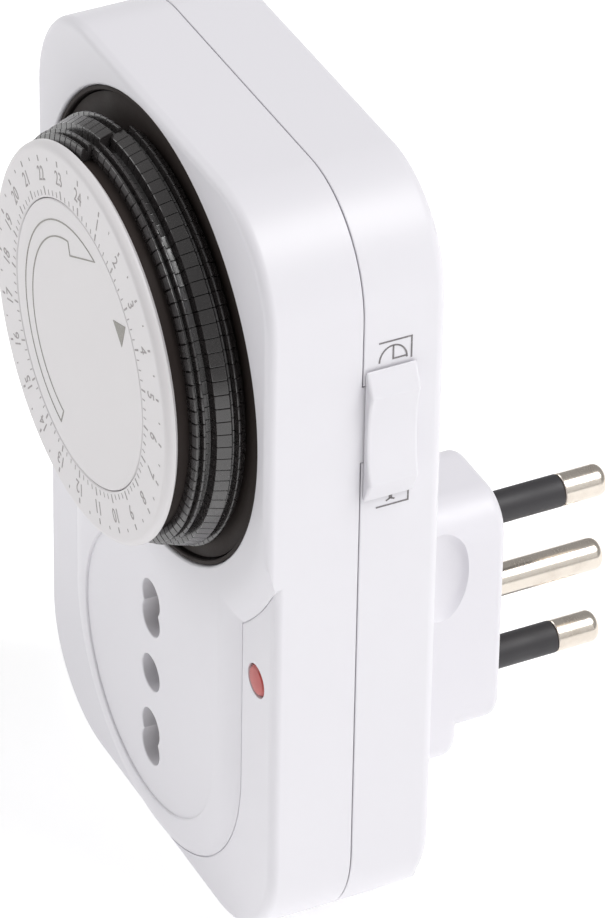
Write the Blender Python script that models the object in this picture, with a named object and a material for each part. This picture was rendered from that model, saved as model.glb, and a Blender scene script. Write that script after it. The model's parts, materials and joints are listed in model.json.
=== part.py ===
"""Plug-in mechanical day timer: a two-part housing with a plug behind and a socket in front.

Frame: +X to the right of someone facing the dial, +Y back towards the wall, +Z up.
The origin is the centre of the flat underside of the front cover. Sizes below are in millimetres.
"""

import math

import bmesh
import bpy
from mathutils import Matrix, Vector

MM = 0.001
GAP = 0.3               # clearance between pieces that touch or slide

# Housing
BODY_WIDTH = 72.6
BODY_HEIGHT = 120.8
FRONT_Y = -8.0          # dial and socket level of the front face
STEP_DEPTH = 1.4        # how far the margins beside the socket plate lie back
SEAM_Y = 5.6            # joint between the front and rear covers
BACK_Y = 18.0
WALL = 2.0
TOP_CORNER_R = 16.0
BOTTOM_CORNER_R = 17.0
FRONT_FILLET = 1.4
BACK_FILLET = 1.8
STEP_MARGIN = 5.2       # the step around the dial runs this far outside the housing's half width
PLATE_FOOT = 0.8        # height of the raised socket plate's round foot above the underside

# Dial and its well
WELL_R = 33.1
WELL_TOP = 1.8          # housing left above the well
COLLAR_WALL = 1.5
COLLAR_END_Y = -0.5
DISC_INSET = 3.8        # the disc's rim lies this far inside the trippers
DISC_FRONT_Y = -18.3
DISC_BACK_Y = -16.4
DISC_FILLET = 1.2
SCALE_INNER_R = 20.2
CENTRE_BACK_Y = -16.8
SPINDLE_SEAT = 0.8      # how far the spindle reaches into the centre plate
DRUM_WALL = 2.8
DRUM_END_Y = -4.8
WEB_THICK = 2.0
HUB_R = 5.0
SPINDLE_R = 2.0
SPINDLE_FLANGE = 2.0    # how far the spindle's rear flange stands out

# Trippers: one bank for each hour
HOURS = 24
BANK_CLEARANCE = 1.4    # open ring between the trippers and the well
BANK_DEPTH = 5.2
BANK_FRONT_Y = -14.6    # front of a bank that is pushed in
BANK_TRAVEL = 1.5
SLOT_DEPTH = 1.2
SLOT_HALF_WIDTH = 1.0
FORWARD_BANKS = (20, 21, 22, 23, 12, 13)

# Mechanism plate and gears
PLATE_FRONT_Y = -3.0
PLATE_BACK_Y = -1.0
DIAL_TEETH = 48
PINION_TEETH = 12
WHEEL_TEETH = 40
MOTOR_TEETH = 10
AXLE_R = 1.0
GEAR_THICK = 3.0
WHEEL_THICK = 2.0
MOTOR_LARGEST_R = 16.5
MOTOR_CLEARANCE = 1.0   # between the motor and the line strip beside it
MOTOR_DEPTH = 10.0
MOTOR_SHAFT = 2.4       # how far the pinion's shaft reaches behind its teeth
BRACKET_HEIGHT = 8.0

# Switch
FINGER_INSET = 2.3      # the reading finger lies this far inside the trippers
FINGER_REACH = 7.4      # finger to pivot
ARM_REACH = 12.0        # pivot to the arm's end
LEVER_PIVOT_Y = 2.2
LEVER_THICK = 2.0
LEVER_HEIGHT = 4.0
FINGER_WIDTH = 1.6
PIVOT_PIN_R = 1.0
CONTACT_R = 1.4
RIVET_R = 0.7
RIVET_INSET = 2.0       # the contact rivet lies this far from the arm's end
STRIP_HALF_WIDTH = 2.5
STRIP_THICK = 0.8
FIXED_STRIP_END = 0.9   # back of the fixed contact behind the mechanism plate
STRIP_CLEARANCE = 1.4   # between the fixed contact's strip and the wheel
FINGER_HALF_HEIGHT = 1.2
EAR_HALF_WIDTH = 2.0    # of the two ears that hold the lever's pin
EAR_HEIGHT = 2.2
LOAD_BUS_DROP = 6.0     # top of the load strip below the dial's axis

# Side slider
SLIDER_RISE = 1.1       # slider's middle above the dial's axis in the timer position
SLIDER_LENGTH = 20.5
SLIDER_WIDTH = 7.3
SLIDER_Y = 9.6
SLIDER_PROUD = 1.8
SLIDER_TRAVEL = 4.0
STEM_LENGTH = 8.0
STEM_WIDTH = 2.6

# Socket, plug and indicator
SOCKET_Z = 27.5
SOCKET_RECESS_MARGIN = 5.7
SOCKET_RECESS_DEPTH = 0.35
LARGE_PITCH = 13.0      # 16 A pin spacing from the earth pin
SMALL_PITCH = 9.5       # 10 A pin spacing from the earth pin
HOLE_R = 2.8
PLUG_Z = 26.4
PIN_R = 2.4
PIN_CORE_R = 1.9
PIN_LENGTH = 20.2
BARE_TIP = 6.9
BOSS_HALF_WIDTH = 9.4
BOSS_TOP_MARGIN = 8.0   # above the line pin
BOSS_LOW_MARGIN = 6.0   # below the neutral pin
BOSS_CORNER_R = 6.0
STAGE_LOW_Z = 2.4       # height of the stage behind the housing above the underside
BOSS_FILLET = 1.2
GRIP_HALF_LENGTH = 4.2
GRIP_HALF_HEIGHT = 7.8
GRIP_HALF_DEPTH = 1.5
GRIP_INSET = 3.6        # from the end of the stage to the grip's centre
GRIP_RISE = 11.2        # of the grip's centre above the earth pin
STAGE_END_Y = 36.5
PLUG_FACE_Y = 43.0
CLIP_LEAF = 0.6
CLIP_FRONT_Y = -3.0
CLIP_BACK_Y = 7.4
CARRIER_HALF_WIDTH = 7.0
CARRIER_MARGIN = 5.0    # contact block above and below the outer pins
LENS_Z = 47.3
LENS_R = 2.5
LENS_PROUD = 0.15
LENS_FLANGE = 0.5
NEON_R = 1.9

# Screws
SCREW_MARGIN_X = 6.9
SCREW_LOW_Z = 8.6
SCREW_MARGIN_TOP = 8.2
POST_R = 3.0
SHANK_R = 1.2
HEAD_R = 2.6
HEAD_SEAT_Y = 13.0

HALF_WIDTH = BODY_WIDTH / 2
MARGIN_Y = FRONT_Y + STEP_DEPTH
CAVITY_FRONT_Y = MARGIN_Y + WALL
STEP_R = HALF_WIDTH + STEP_MARGIN
DIAL_Z = BODY_HEIGHT - WELL_TOP - WELL_R
DIAL_AXIS = (0.0, DIAL_Z)
BANK_OUTER_R = WELL_R - BANK_CLEARANCE
DRUM_R = BANK_OUTER_R - BANK_DEPTH - GAP
DRUM_INNER_R = DRUM_R - DRUM_WALL
DISC_R = BANK_OUTER_R - DISC_INSET
PLATE_R = SOCKET_Z - PLATE_FOOT
SOCKET_RECESS_R = PLATE_R - SOCKET_RECESS_MARGIN
LENS_X = HALF_WIDTH - WALL - LENS_R - LENS_FLANGE - GAP
SCREW_X = HALF_WIDTH - SCREW_MARGIN_X
SCREW_HIGH_Z = BODY_HEIGHT - SCREW_MARGIN_TOP
SLIDER_Z = DIAL_Z + SLIDER_RISE
FINGER_X = BANK_OUTER_R - FINGER_INSET
LEVER_PIVOT_X = FINGER_X - FINGER_REACH
LEVER_ARM_X = LEVER_PIVOT_X - ARM_REACH
STRIP_X = LEVER_ARM_X + RIVET_INSET
SOCKET_AXIS = (0.0, SOCKET_Z)
DIAL_MODULE = (DRUM_INNER_R - 3 * GAP) / (DIAL_TEETH / 2 + PINION_TEETH + 0.8)
GEAR_DISTANCE = DIAL_MODULE * (DIAL_TEETH + PINION_TEETH) / 2
GEAR_AXIS = (0.0, DIAL_Z - GEAR_DISTANCE)
WHEEL_TIP_R = GEAR_DISTANCE - SPINDLE_R - SPINDLE_FLANGE - 12 * GAP
WHEEL_MODULE = WHEEL_TIP_R / (WHEEL_TEETH / 2 + 0.8)
MOTOR_DISTANCE = WHEEL_MODULE * (WHEEL_TEETH + MOTOR_TEETH) / 2
MOTOR_AXIS = (-MOTOR_DISTANCE, GEAR_AXIS[1])
MOTOR_ROOM = MOTOR_DISTANCE + STRIP_X - STRIP_HALF_WIDTH - MOTOR_CLEARANCE
MOTOR_R = min(MOTOR_LARGEST_R, MOTOR_ROOM)
WHEEL_RISE = math.sqrt(max(WHEEL_TIP_R ** 2 - (STRIP_X - STRIP_HALF_WIDTH) ** 2, 0.0))
STRIP_LOW_Z = GEAR_AXIS[1] + WHEEL_RISE + STRIP_CLEARANCE
LINE_PIN_FRONT_Y = BACK_Y - WALL - 4.0
GEAR_BACK_Y = PLATE_FRONT_Y - 2 * GAP
GEAR_FRONT_Y = PLATE_FRONT_Y - GAP - GEAR_THICK
WHEEL_FRONT_Y = PLATE_BACK_Y + 2 * GAP
MOTOR_FRONT_Y = WHEEL_FRONT_Y + WHEEL_THICK + 1.0
WEB_FRONT_Y = DISC_BACK_Y + GAP


def clear_scene():
    for thing in list(bpy.data.objects):
        bpy.data.objects.remove(thing, do_unlink=True)


def material(name, colour, roughness, metallic=0.0):
    made = bpy.data.materials.new(name)
    made.use_nodes = True
    shader = made.node_tree.nodes["Principled BSDF"]
    shader.inputs["Base Color"].default_value = (*colour, 1.0)
    shader.inputs["Roughness"].default_value = roughness
    shader.inputs["Metallic"].default_value = metallic
    return made


def to_object(name, built):
    """A new object from a bmesh in millimetres, with its faces turned outwards."""
    bmesh.ops.scale(built, vec=(MM, MM, MM), verts=built.verts)
    bmesh.ops.recalc_face_normals(built, faces=built.faces)
    mesh = bpy.data.meshes.new(name)
    built.to_mesh(mesh)
    built.free()
    thing = bpy.data.objects.new(name, mesh)
    bpy.context.scene.collection.objects.link(thing)
    return thing


def rings_to_object(name, rings):
    """Joins closed rings of equal length, each a list of (x, y, z), with a cap on both ends."""
    built = bmesh.new()
    loops = [[built.verts.new(point) for point in ring] for ring in rings]
    count = len(rings[0])
    for near, far in zip(loops, loops[1:]):
        for i in range(count):
            j = (i + 1) % count
            built.faces.new((near[i], near[j], far[j], far[i]))
    built.faces.new(loops[0])
    built.faces.new(list(reversed(loops[-1])))
    return to_object(name, built)


def prism(name, outline, y_low, y_high):
    """An outline of (x, z) points extruded along Y."""
    return rings_to_object(name, [[(x, y, z) for x, z in outline] for y in (y_low, y_high)])


def loft(name, outline_at, steps):
    """Rings of outline_at(inset) at each (y, inset) of steps."""
    return rings_to_object(name, [[(x, y, z) for x, z in outline_at(inset)] for y, inset in steps])


def box(name, low, high):
    outline = [(low[0], low[2]), (high[0], low[2]), (high[0], high[2]), (low[0], high[2])]
    return prism(name, outline, low[1], high[1])


def circle(radius, centre, count=32):
    angles = [2 * math.pi * i / count for i in range(count)]
    return [(centre[0] + radius * math.cos(a), centre[1] + radius * math.sin(a)) for a in angles]


def rod(name, radius, centre, y_low, y_high, count=20):
    return prism(name, circle(radius, centre, count), y_low, y_high)


def turned(name, profile, centre, count=24):
    """A solid turned about a Y axis from (radius, y) points; every radius is above zero."""
    return rings_to_object(
        name, [[(x, y, z) for x, z in circle(radius, centre, count)] for radius, y in profile]
    )


def ring_of(name, outer, inner, centre, y_low, y_high, count=48):
    body = rod(name, outer, centre, y_low, y_high, count)
    return cut(body, rod("bore", inner, centre, y_low - 1, y_high + 1, count))


def arc(centre, radius, start, end, count):
    """Points from one angle to another in degrees, both ends included."""
    turns = [math.radians(start + (end - start) * i / count) for i in range(count + 1)]
    return [(centre[0] + radius * math.cos(t), centre[1] + radius * math.sin(t)) for t in turns]


def rounded(half_width, low, high, low_r, high_r, count=8):
    """A rounded rectangle about x = 0, as (x, z) points, anticlockwise from the lower right."""
    points = arc((half_width - low_r, low + low_r), low_r, -90, 0, count)
    points += arc((half_width - high_r, high - high_r), high_r, 0, 90, count)
    points += arc((high_r - half_width, high - high_r), high_r, 90, 180, count)
    points += arc((low_r - half_width, low + low_r), low_r, 180, 270, count)
    return points


def combined(thing, other, operation):
    """Applies a Boolean with another object, which is then removed."""
    step = thing.modifiers.new(operation.lower(), "BOOLEAN")
    step.operation = operation
    step.object = other
    step.solver = "EXACT"
    bpy.context.view_layer.update()
    graph = bpy.context.evaluated_depsgraph_get()
    result = bpy.data.meshes.new_from_object(thing.evaluated_get(graph))
    thing.modifiers.clear()
    thing.data = result
    bpy.data.objects.remove(other, do_unlink=True)
    return thing


def cut(thing, other):
    return combined(thing, other, "DIFFERENCE")


def joined(thing, other):
    return combined(thing, other, "UNION")


def finished(thing, finish, name=None):
    """Gives a piece its name, material and smooth shading across its round faces."""
    if name:
        thing.name = name
    thing.data.materials.clear()
    thing.data.materials.append(finish)
    thing.data.shade_smooth()
    thing.data.set_sharp_from_angle(angle=math.radians(30))
    return thing


def origin_to(thing, x, y, z):
    """Moves the object's origin to a point in millimetres; the solid stays where it is."""
    place = Vector((x * MM, y * MM, z * MM))
    thing.data.transform(Matrix.Translation(-place))
    thing.location = place
    return thing


def body_outline(inset):
    return rounded(
        HALF_WIDTH - inset,
        inset,
        BODY_HEIGHT - inset,
        BOTTOM_CORNER_R - inset,
        TOP_CORNER_R - inset,
    )


def raised_outline(inset):
    """The dial field and the socket plate hanging from it, drawn anticlockwise."""
    half = HALF_WIDTH - inset
    corner = TOP_CORNER_R - inset
    step = STEP_R - inset
    plate = PLATE_R - inset
    side_turn = math.degrees(math.acos(half / step))
    plate_turn = math.degrees(math.acos(plate / step))
    points = arc((0, SOCKET_Z), plate, -180, 0, 24)
    points += arc(DIAL_AXIS, step, -plate_turn, -side_turn, 5)
    points += arc((half - corner, BODY_HEIGHT - inset - corner), corner, 0, 90, 8)
    points += arc((corner - half, BODY_HEIGHT - inset - corner), corner, 90, 180, 8)
    points += arc(DIAL_AXIS, step, 180 + side_turn, 180 + plate_turn, 5)
    return points


def fillet_steps(y_edge, y_flat, radius, inwards):
    """(y, inset) rings that round an edge at y_edge; inwards is +1 for a front edge."""
    turns = [math.radians(45 * i) for i in range(3)]
    steps = [
        (y_edge + inwards * radius * (1 - math.sin(t)), radius * (1 - math.cos(t))) for t in turns
    ]
    return sorted(steps + [(y_flat, 0.0)])


def screw_places():
    return [(x, z) for z in (SCREW_LOW_Z, SCREW_HIGH_Z) for x in (-SCREW_X, SCREW_X)]


def make_front_cover(finish):
    cover = loft("front_cover", body_outline, fillet_steps(MARGIN_Y, SEAM_Y, FRONT_FILLET, 1))
    field = loft("field", raised_outline, fillet_steps(FRONT_Y, CAVITY_FRONT_Y + 0.8, FRONT_FILLET, 1))
    joined(cover, field)
    cavity = prism("cavity", body_outline(WALL), CAVITY_FRONT_Y, SEAM_Y + 5)
    cut(cover, cavity)
    collar = rod("collar", WELL_R + COLLAR_WALL, DIAL_AXIS, CAVITY_FRONT_Y - 0.6, COLLAR_END_Y, 72)
    joined(cover, collar)
    cut(cover, rod("well", WELL_R, DIAL_AXIS, FRONT_Y - 5, SEAM_Y, 72))
    floor = FRONT_Y + SOCKET_RECESS_DEPTH
    cut(cover, rod("socket_recess", SOCKET_RECESS_R, SOCKET_AXIS, FRONT_Y - 5, floor, 56))
    for side in (-1, 1):
        for pitch in (SMALL_PITCH, LARGE_PITCH):
            place = (0.0, SOCKET_Z + side * pitch)
            cut(cover, rod("pin_hole", HOLE_R, place, FRONT_Y - 5, CAVITY_FRONT_Y + 3, 24))
    cut(cover, rod("earth_hole", HOLE_R, SOCKET_AXIS, FRONT_Y - 5, CAVITY_FRONT_Y + 3, 24))
    lens_place = (LENS_X, LENS_Z)
    cut(cover, rod("lens_hole", LENS_R + GAP / 2, lens_place, MARGIN_Y - 5, CAVITY_FRONT_Y + 3, 20))
    for place in screw_places():
        joined(cover, rod("post", POST_R, place, CAVITY_FRONT_Y - 0.6, SEAM_Y - GAP, 16))
        cut(cover, rod("pilot", SHANK_R + 0.1, place, CAVITY_FRONT_Y + 1, SEAM_Y + 1, 12))
    return finished(cover, finish)


def boss_outline(inset):
    return rounded(
        BOSS_HALF_WIDTH - inset,
        PLUG_Z - LARGE_PITCH - BOSS_LOW_MARGIN + inset,
        PLUG_Z + LARGE_PITCH + BOSS_TOP_MARGIN - inset,
        BOSS_CORNER_R - inset,
        BOSS_CORNER_R - inset,
    )


def stage_outline(inset):
    return rounded(
        BOSS_HALF_WIDTH - inset,
        STAGE_LOW_Z + inset,
        PLUG_Z + LARGE_PITCH + BOSS_TOP_MARGIN - inset,
        BOSS_CORNER_R - inset,
        BOSS_CORNER_R - inset,
    )


def make_rear_cover(finish):
    steps = fillet_steps(BACK_Y, SEAM_Y + GAP, BACK_FILLET, -1)
    cover = loft("rear_cover", body_outline, steps)
    stage_steps = fillet_steps(STAGE_END_Y, BACK_Y - 0.7, BACK_FILLET, -1)
    joined(cover, loft("stage", stage_outline, stage_steps))
    boss_steps = fillet_steps(PLUG_FACE_Y, BACK_Y + 1, BOSS_FILLET, -1)
    joined(cover, loft("boss", boss_outline, boss_steps))
    cut(cover, prism("cavity", body_outline(WALL), SEAM_Y - 5, BACK_Y - WALL))
    cut(cover, prism("boss_cavity", boss_outline(WALL), BACK_Y - WALL - 1, PLUG_FACE_Y - WALL))
    for side in (-1, 1):
        half = [
            (0.4, GRIP_HALF_DEPTH),
            (GRIP_HALF_LENGTH * 0.7, GRIP_HALF_DEPTH * 0.8),
            (GRIP_HALF_LENGTH, 0.0),
        ]
        profile = [(radius, -y) for radius, y in half] + half[1::-1]
        grip = turned("grip", profile, (0.0, 0.0), 16)
        spot = Vector((side * BOSS_HALF_WIDTH, STAGE_END_Y - GRIP_INSET, PLUG_Z + GRIP_RISE)) * MM
        stretch = Matrix.Diagonal((1.0, 1.0, GRIP_HALF_HEIGHT / GRIP_HALF_LENGTH, 1.0))
        turn = Matrix.Rotation(math.pi / 2, 4, "Z")
        grip.matrix_world = Matrix.Translation(spot) @ stretch @ turn
        cut(cover, grip)
    for offset in (-LARGE_PITCH, 0.0, LARGE_PITCH):
        place = (0.0, PLUG_Z + offset)
        cut(cover, rod("pin_hole", PIN_R + 0.15, place, PLUG_FACE_Y - 4, PLUG_FACE_Y + 2, 20))
    for place in screw_places():
        joined(cover, rod("post", POST_R + 0.8, place, SEAM_Y + GAP, BACK_Y - 0.5, 16))
        cut(cover, rod("shank_hole", SHANK_R + 0.3, place, SEAM_Y - 1, BACK_Y + 1, 12))
        cut(cover, rod("head_hole", HEAD_R + GAP, place, HEAD_SEAT_Y, BACK_Y + 1, 16))
    reach = STEM_LENGTH / 2 + GAP
    half = STEM_WIDTH / 2 + GAP
    slot_low = (HALF_WIDTH - WALL - 2, SLIDER_Y - half, SLIDER_Z - reach - SLIDER_TRAVEL)
    slot_high = (HALF_WIDTH + 2, SLIDER_Y + half, SLIDER_Z + reach)
    cut(cover, box("slider_slot", slot_low, slot_high))
    return finished(cover, finish)


def make_dial_disc(finish):
    """The white ring that carries the printed hours."""
    outer = fillet_steps(DISC_FRONT_Y, DISC_BACK_Y, DISC_FILLET, 1)
    profile = [(DISC_R - inset, y) for y, inset in outer]
    disc = turned("dial_disc", profile, DIAL_AXIS, 56)
    cut(disc, rod("bore", SCALE_INNER_R, DIAL_AXIS, DISC_FRONT_Y - 1, DISC_BACK_Y + 1, 40))
    return origin_to(finished(disc, finish), 0, 0, DIAL_Z)


def make_centre_plate(finish):
    radius = SCALE_INNER_R - GAP
    seat_y = CENTRE_BACK_Y - SPINDLE_SEAT - 0.2
    plate = rod("centre_plate", radius, DIAL_AXIS, DISC_FRONT_Y + 0.1, CENTRE_BACK_Y, 48)
    cut(plate, rod("seat", SPINDLE_R + 0.1, DIAL_AXIS, seat_y, CENTRE_BACK_Y + 1, 16))
    return finished(plate, finish)


def make_spindle(finish):
    front = CENTRE_BACK_Y - SPINDLE_SEAT
    profile = [
        (SPINDLE_R, front),
        (SPINDLE_R, PLATE_BACK_Y + GAP),
        (SPINDLE_R + SPINDLE_FLANGE, PLATE_BACK_Y + GAP),
        (SPINDLE_R + SPINDLE_FLANGE, PLATE_BACK_Y + 1.8),
    ]
    return finished(turned("dial_spindle", profile, DIAL_AXIS, 16), finish)


def drum_outline():
    """The drum seen along its axis, with one slot for each bank."""
    points = []
    half_slot = math.degrees(SLOT_HALF_WIDTH / DRUM_R)
    pitch = 360 / HOURS
    for hour in range(HOURS):
        middle = 90 + hour * pitch
        points += arc(DIAL_AXIS, DRUM_R - SLOT_DEPTH, middle - half_slot, middle + half_slot, 1)
        points += arc(DIAL_AXIS, DRUM_R, middle + half_slot, middle + pitch - half_slot, 2)
    return points


def make_gear(name, teeth, module, centre, y_low, y_high, turn=0.0):
    """A spur gear with straight-sided teeth, thinned at the pitch line for backlash."""
    pitch_r = module * teeth / 2
    step = 360 / teeth
    points = []
    for tooth in range(teeth):
        middle = turn + tooth * step
        for radius, share in (
            (pitch_r - 1.1 * module, -0.33),
            (pitch_r + 0.8 * module, -0.11),
            (pitch_r + 0.8 * module, 0.11),
            (pitch_r - 1.1 * module, 0.33),
        ):
            angle = math.radians(middle + share * step)
            points.append((centre[0] + radius * math.cos(angle), centre[1] + radius * math.sin(angle)))
    return prism(name, points, y_low, y_high)


def make_carrier(finish):
    """The black drum behind the disc: web, slotted rim, hub and driven gear."""
    drum = prism("dial_carrier", drum_outline(), WEB_FRONT_Y, DRUM_END_Y)
    inner_y = WEB_FRONT_Y + WEB_THICK
    cut(drum, rod("hollow", DRUM_INNER_R, DIAL_AXIS, inner_y, DRUM_END_Y + 1, 36))
    joined(drum, rod("hub", HUB_R, DIAL_AXIS, inner_y - 0.5, PLATE_FRONT_Y - GAP, 20))
    gear = make_gear("gear", DIAL_TEETH, DIAL_MODULE, DIAL_AXIS, GEAR_FRONT_Y, GEAR_BACK_Y, 90)
    joined(drum, gear)
    cut(drum, rod("bore", SPINDLE_R + 0.2, DIAL_AXIS, WEB_FRONT_Y - 1, PLATE_FRONT_Y + 1, 16))
    return origin_to(finished(drum, finish), 0, 0, DIAL_Z)


def bank_profile():
    """(radius, y) of a tripper bank from its front finger to its rear foot, then back inside."""
    inner = DRUM_R + GAP
    outer = BANK_OUTER_R
    return [
        (inner, BANK_FRONT_Y),
        (outer - 3.5, BANK_FRONT_Y),
        (outer - 2.1, BANK_FRONT_Y + 2.0),
        (outer - 0.8, BANK_FRONT_Y + 2.8),
        (outer - 0.8, BANK_FRONT_Y + 4.0),
        (outer - 1.5, BANK_FRONT_Y + 4.5),
        (outer - 0.8, BANK_FRONT_Y + 5.2),
        (outer - 0.8, BANK_FRONT_Y + 6.4),
        (outer - 1.4, BANK_FRONT_Y + 7.0),
        (outer, BANK_FRONT_Y + 9.0),
        (outer, DRUM_END_Y),
        (inner, DRUM_END_Y),
    ]


def make_bank_mesh(finish):
    """One hour's trippers, four quarter hours wide, with the tongue that runs in the drum's slot."""
    half = 180 / HOURS - 0.5
    built = bmesh.new()
    loops = []
    for step in range(5):
        angle = math.radians(-half + step * half / 2)
        loops.append([
            built.verts.new((r * math.sin(angle), y, r * math.cos(angle))) for r, y in bank_profile()
        ])
    count = len(loops[0])
    for near, far in zip(loops, loops[1:]):
        for i in range(count):
            j = (i + 1) % count
            built.faces.new((near[i], near[j], far[j], far[i]))
    built.faces.new(loops[0])
    built.faces.new(list(reversed(loops[-1])))
    bank = to_object("bank", built)
    width = SLOT_HALF_WIDTH - GAP
    foot = DRUM_R - SLOT_DEPTH + GAP
    high = (width, DRUM_END_Y - 0.8, DRUM_R + 1)
    joined(bank, box("tongue", (-width, BANK_FRONT_Y + 0.6, foot), high))
    finished(bank, finish)
    mesh = bank.data
    bpy.data.objects.remove(bank, do_unlink=True)
    return mesh


def make_banks(finish):
    """The 24 banks share one mesh; those listed in FORWARD_BANKS are pulled out."""
    mesh = make_bank_mesh(finish)
    for hour in range(HOURS):
        bank = bpy.data.objects.new(f"tripper_hour_{hour + 1:02d}", mesh)
        bpy.context.scene.collection.objects.link(bank)
        forward = BANK_TRAVEL if hour in FORWARD_BANKS else 0.0
        bank.location = (0, -forward * MM, DIAL_Z * MM)
        bank.rotation_euler = (0, math.radians(hour * 360 / HOURS), 0)


def make_mechanism_plate(finish):
    """The black floor of the well: it holds the spindle, the gear axle and the lever."""
    plate = rod("mechanism_plate", WELL_R - GAP, DIAL_AXIS, PLATE_FRONT_Y, PLATE_BACK_Y, 72)
    half = LEVER_HEIGHT / 2 + GAP
    for side in (-1, 1):
        near = DIAL_Z + side * half
        far = near + side * EAR_HEIGHT
        low = (LEVER_PIVOT_X - EAR_HALF_WIDTH, PLATE_BACK_Y - 0.5, min(near, far))
        high = (LEVER_PIVOT_X + EAR_HALF_WIDTH, LEVER_PIVOT_Y + EAR_HALF_WIDTH, max(near, far))
        joined(plate, box("ear", low, high))
    pin = rod("pin_bore", PIVOT_PIN_R + 0.1, (0, 0), -10, 10, 12)
    pin.matrix_world = Matrix.Translation(
        Vector((LEVER_PIVOT_X, LEVER_PIVOT_Y, DIAL_Z)) * MM
    ) @ Matrix.Rotation(math.pi / 2, 4, "X")
    cut(plate, pin)
    window_low = (FINGER_X - FINGER_WIDTH / 2 - 0.6, PLATE_FRONT_Y - 1, DIAL_Z - half)
    window_high = (FINGER_X + FINGER_WIDTH / 2 + 0.6, PLATE_BACK_Y + 1, DIAL_Z + half)
    cut(plate, box("finger_window", window_low, window_high))
    cut(plate, rod("spindle_hole", SPINDLE_R + 0.1, DIAL_AXIS, PLATE_FRONT_Y - 1, PLATE_BACK_Y + 1, 16))
    cut(plate, rod("axle_hole", AXLE_R + 0.15, GEAR_AXIS, PLATE_FRONT_Y - 1, PLATE_BACK_Y + 1, 12))
    return finished(plate, finish)


def make_reduction_gear(finish):
    """A wheel behind the plate and a pinion in front of it on one shaft."""
    turn = 90 + 180 / PINION_TEETH
    gear = make_gear(
        "reduction_gear", PINION_TEETH, DIAL_MODULE, GEAR_AXIS, GEAR_FRONT_Y, GEAR_BACK_Y, turn
    )
    joined(gear, rod("shaft", AXLE_R, GEAR_AXIS, GEAR_FRONT_Y + 0.5, WHEEL_FRONT_Y + 1, 12))
    wheel_end = WHEEL_FRONT_Y + WHEEL_THICK
    wheel = make_gear("wheel", WHEEL_TEETH, WHEEL_MODULE, GEAR_AXIS, WHEEL_FRONT_Y, wheel_end, 180)
    joined(gear, wheel)
    return origin_to(finished(gear, finish), GEAR_AXIS[0], 0, GEAR_AXIS[1])


def make_motor_pinion(finish):
    low = WHEEL_FRONT_Y
    high = low + WHEEL_THICK
    turn = 180 / MOTOR_TEETH
    pinion = make_gear("motor_pinion", MOTOR_TEETH, WHEEL_MODULE, MOTOR_AXIS, low, high, turn)
    joined(pinion, rod("shaft", AXLE_R, MOTOR_AXIS, low + 1, high + MOTOR_SHAFT, 12))
    return origin_to(finished(pinion, finish), MOTOR_AXIS[0], 0, MOTOR_AXIS[1])


def make_motor(finish):
    front = MOTOR_FRONT_Y
    profile = [(y, inset) for y, inset in fillet_steps(front, front + MOTOR_DEPTH, 0.8, 1)]
    motor = turned("synchronous_motor", [(MOTOR_R - inset, y) for y, inset in profile], MOTOR_AXIS, 32)
    cut(motor, rod("shaft_hole", AXLE_R + 0.2, MOTOR_AXIS, front - 1, front + 3, 12))
    return finished(motor, finish)


def make_motor_bracket(finish):
    """A strap behind the motor that rests against the rear cover."""
    low = MOTOR_FRONT_Y + MOTOR_DEPTH + GAP
    half = BRACKET_HEIGHT / 2
    left = MOTOR_AXIS[0] - MOTOR_R - 0.5
    right = MOTOR_AXIS[0] + MOTOR_R + 0.5
    high = (right, BACK_Y - WALL - GAP, MOTOR_AXIS[1] + half)
    bracket = box("motor_bracket", (left, low, MOTOR_AXIS[1] - half), high)
    return finished(bracket, finish)


def make_lever(finish):
    """The rocker: a finger that feels the trippers, a pivot eye and the contact arm."""
    half = LEVER_HEIGHT / 2
    low_y = LEVER_PIVOT_Y - LEVER_THICK / 2
    high_y = LEVER_PIVOT_Y + LEVER_THICK / 2
    right = FINGER_X + FINGER_WIDTH / 2
    lever = box("switch_lever", (LEVER_ARM_X, low_y, DIAL_Z - half), (right, high_y, DIAL_Z + half))
    eye = rod("eye", PIVOT_PIN_R + 0.9, (0, 0), -half, half, 16)
    eye.matrix_world = Matrix.Translation(
        Vector((LEVER_PIVOT_X, LEVER_PIVOT_Y, DIAL_Z)) * MM
    ) @ Matrix.Rotation(math.pi / 2, 4, "X")
    joined(lever, eye)
    finger_low = (FINGER_X - FINGER_WIDTH / 2, DRUM_END_Y + GAP, DIAL_Z - FINGER_HALF_HEIGHT)
    joined(lever, box("finger", finger_low, (right, high_y - 0.2, DIAL_Z + FINGER_HALF_HEIGHT)))
    bore = rod("bore", PIVOT_PIN_R + 0.1, (0, 0), -half - 1, half + 1, 12)
    bore.matrix_world = Matrix.Translation(
        Vector((LEVER_PIVOT_X, LEVER_PIVOT_Y, DIAL_Z)) * MM
    ) @ Matrix.Rotation(math.pi / 2, 4, "X")
    cut(lever, bore)
    hole = rod("rivet_hole", RIVET_R + 0.1, (STRIP_X, DIAL_Z), low_y - 1, high_y + 1, 12)
    cut(lever, hole)
    return origin_to(finished(lever, finish), LEVER_PIVOT_X, LEVER_PIVOT_Y, DIAL_Z)


def make_lever_pin(finish):
    half = LEVER_HEIGHT / 2 + GAP + EAR_HEIGHT
    pin = rod("lever_pin", PIVOT_PIN_R, (0, 0), -half, half, 12)
    pin.data.transform(Matrix.Rotation(math.pi / 2, 4, "X"))
    pin.location = Vector((LEVER_PIVOT_X, LEVER_PIVOT_Y, DIAL_Z)) * MM
    return finished(pin, finish)


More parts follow.
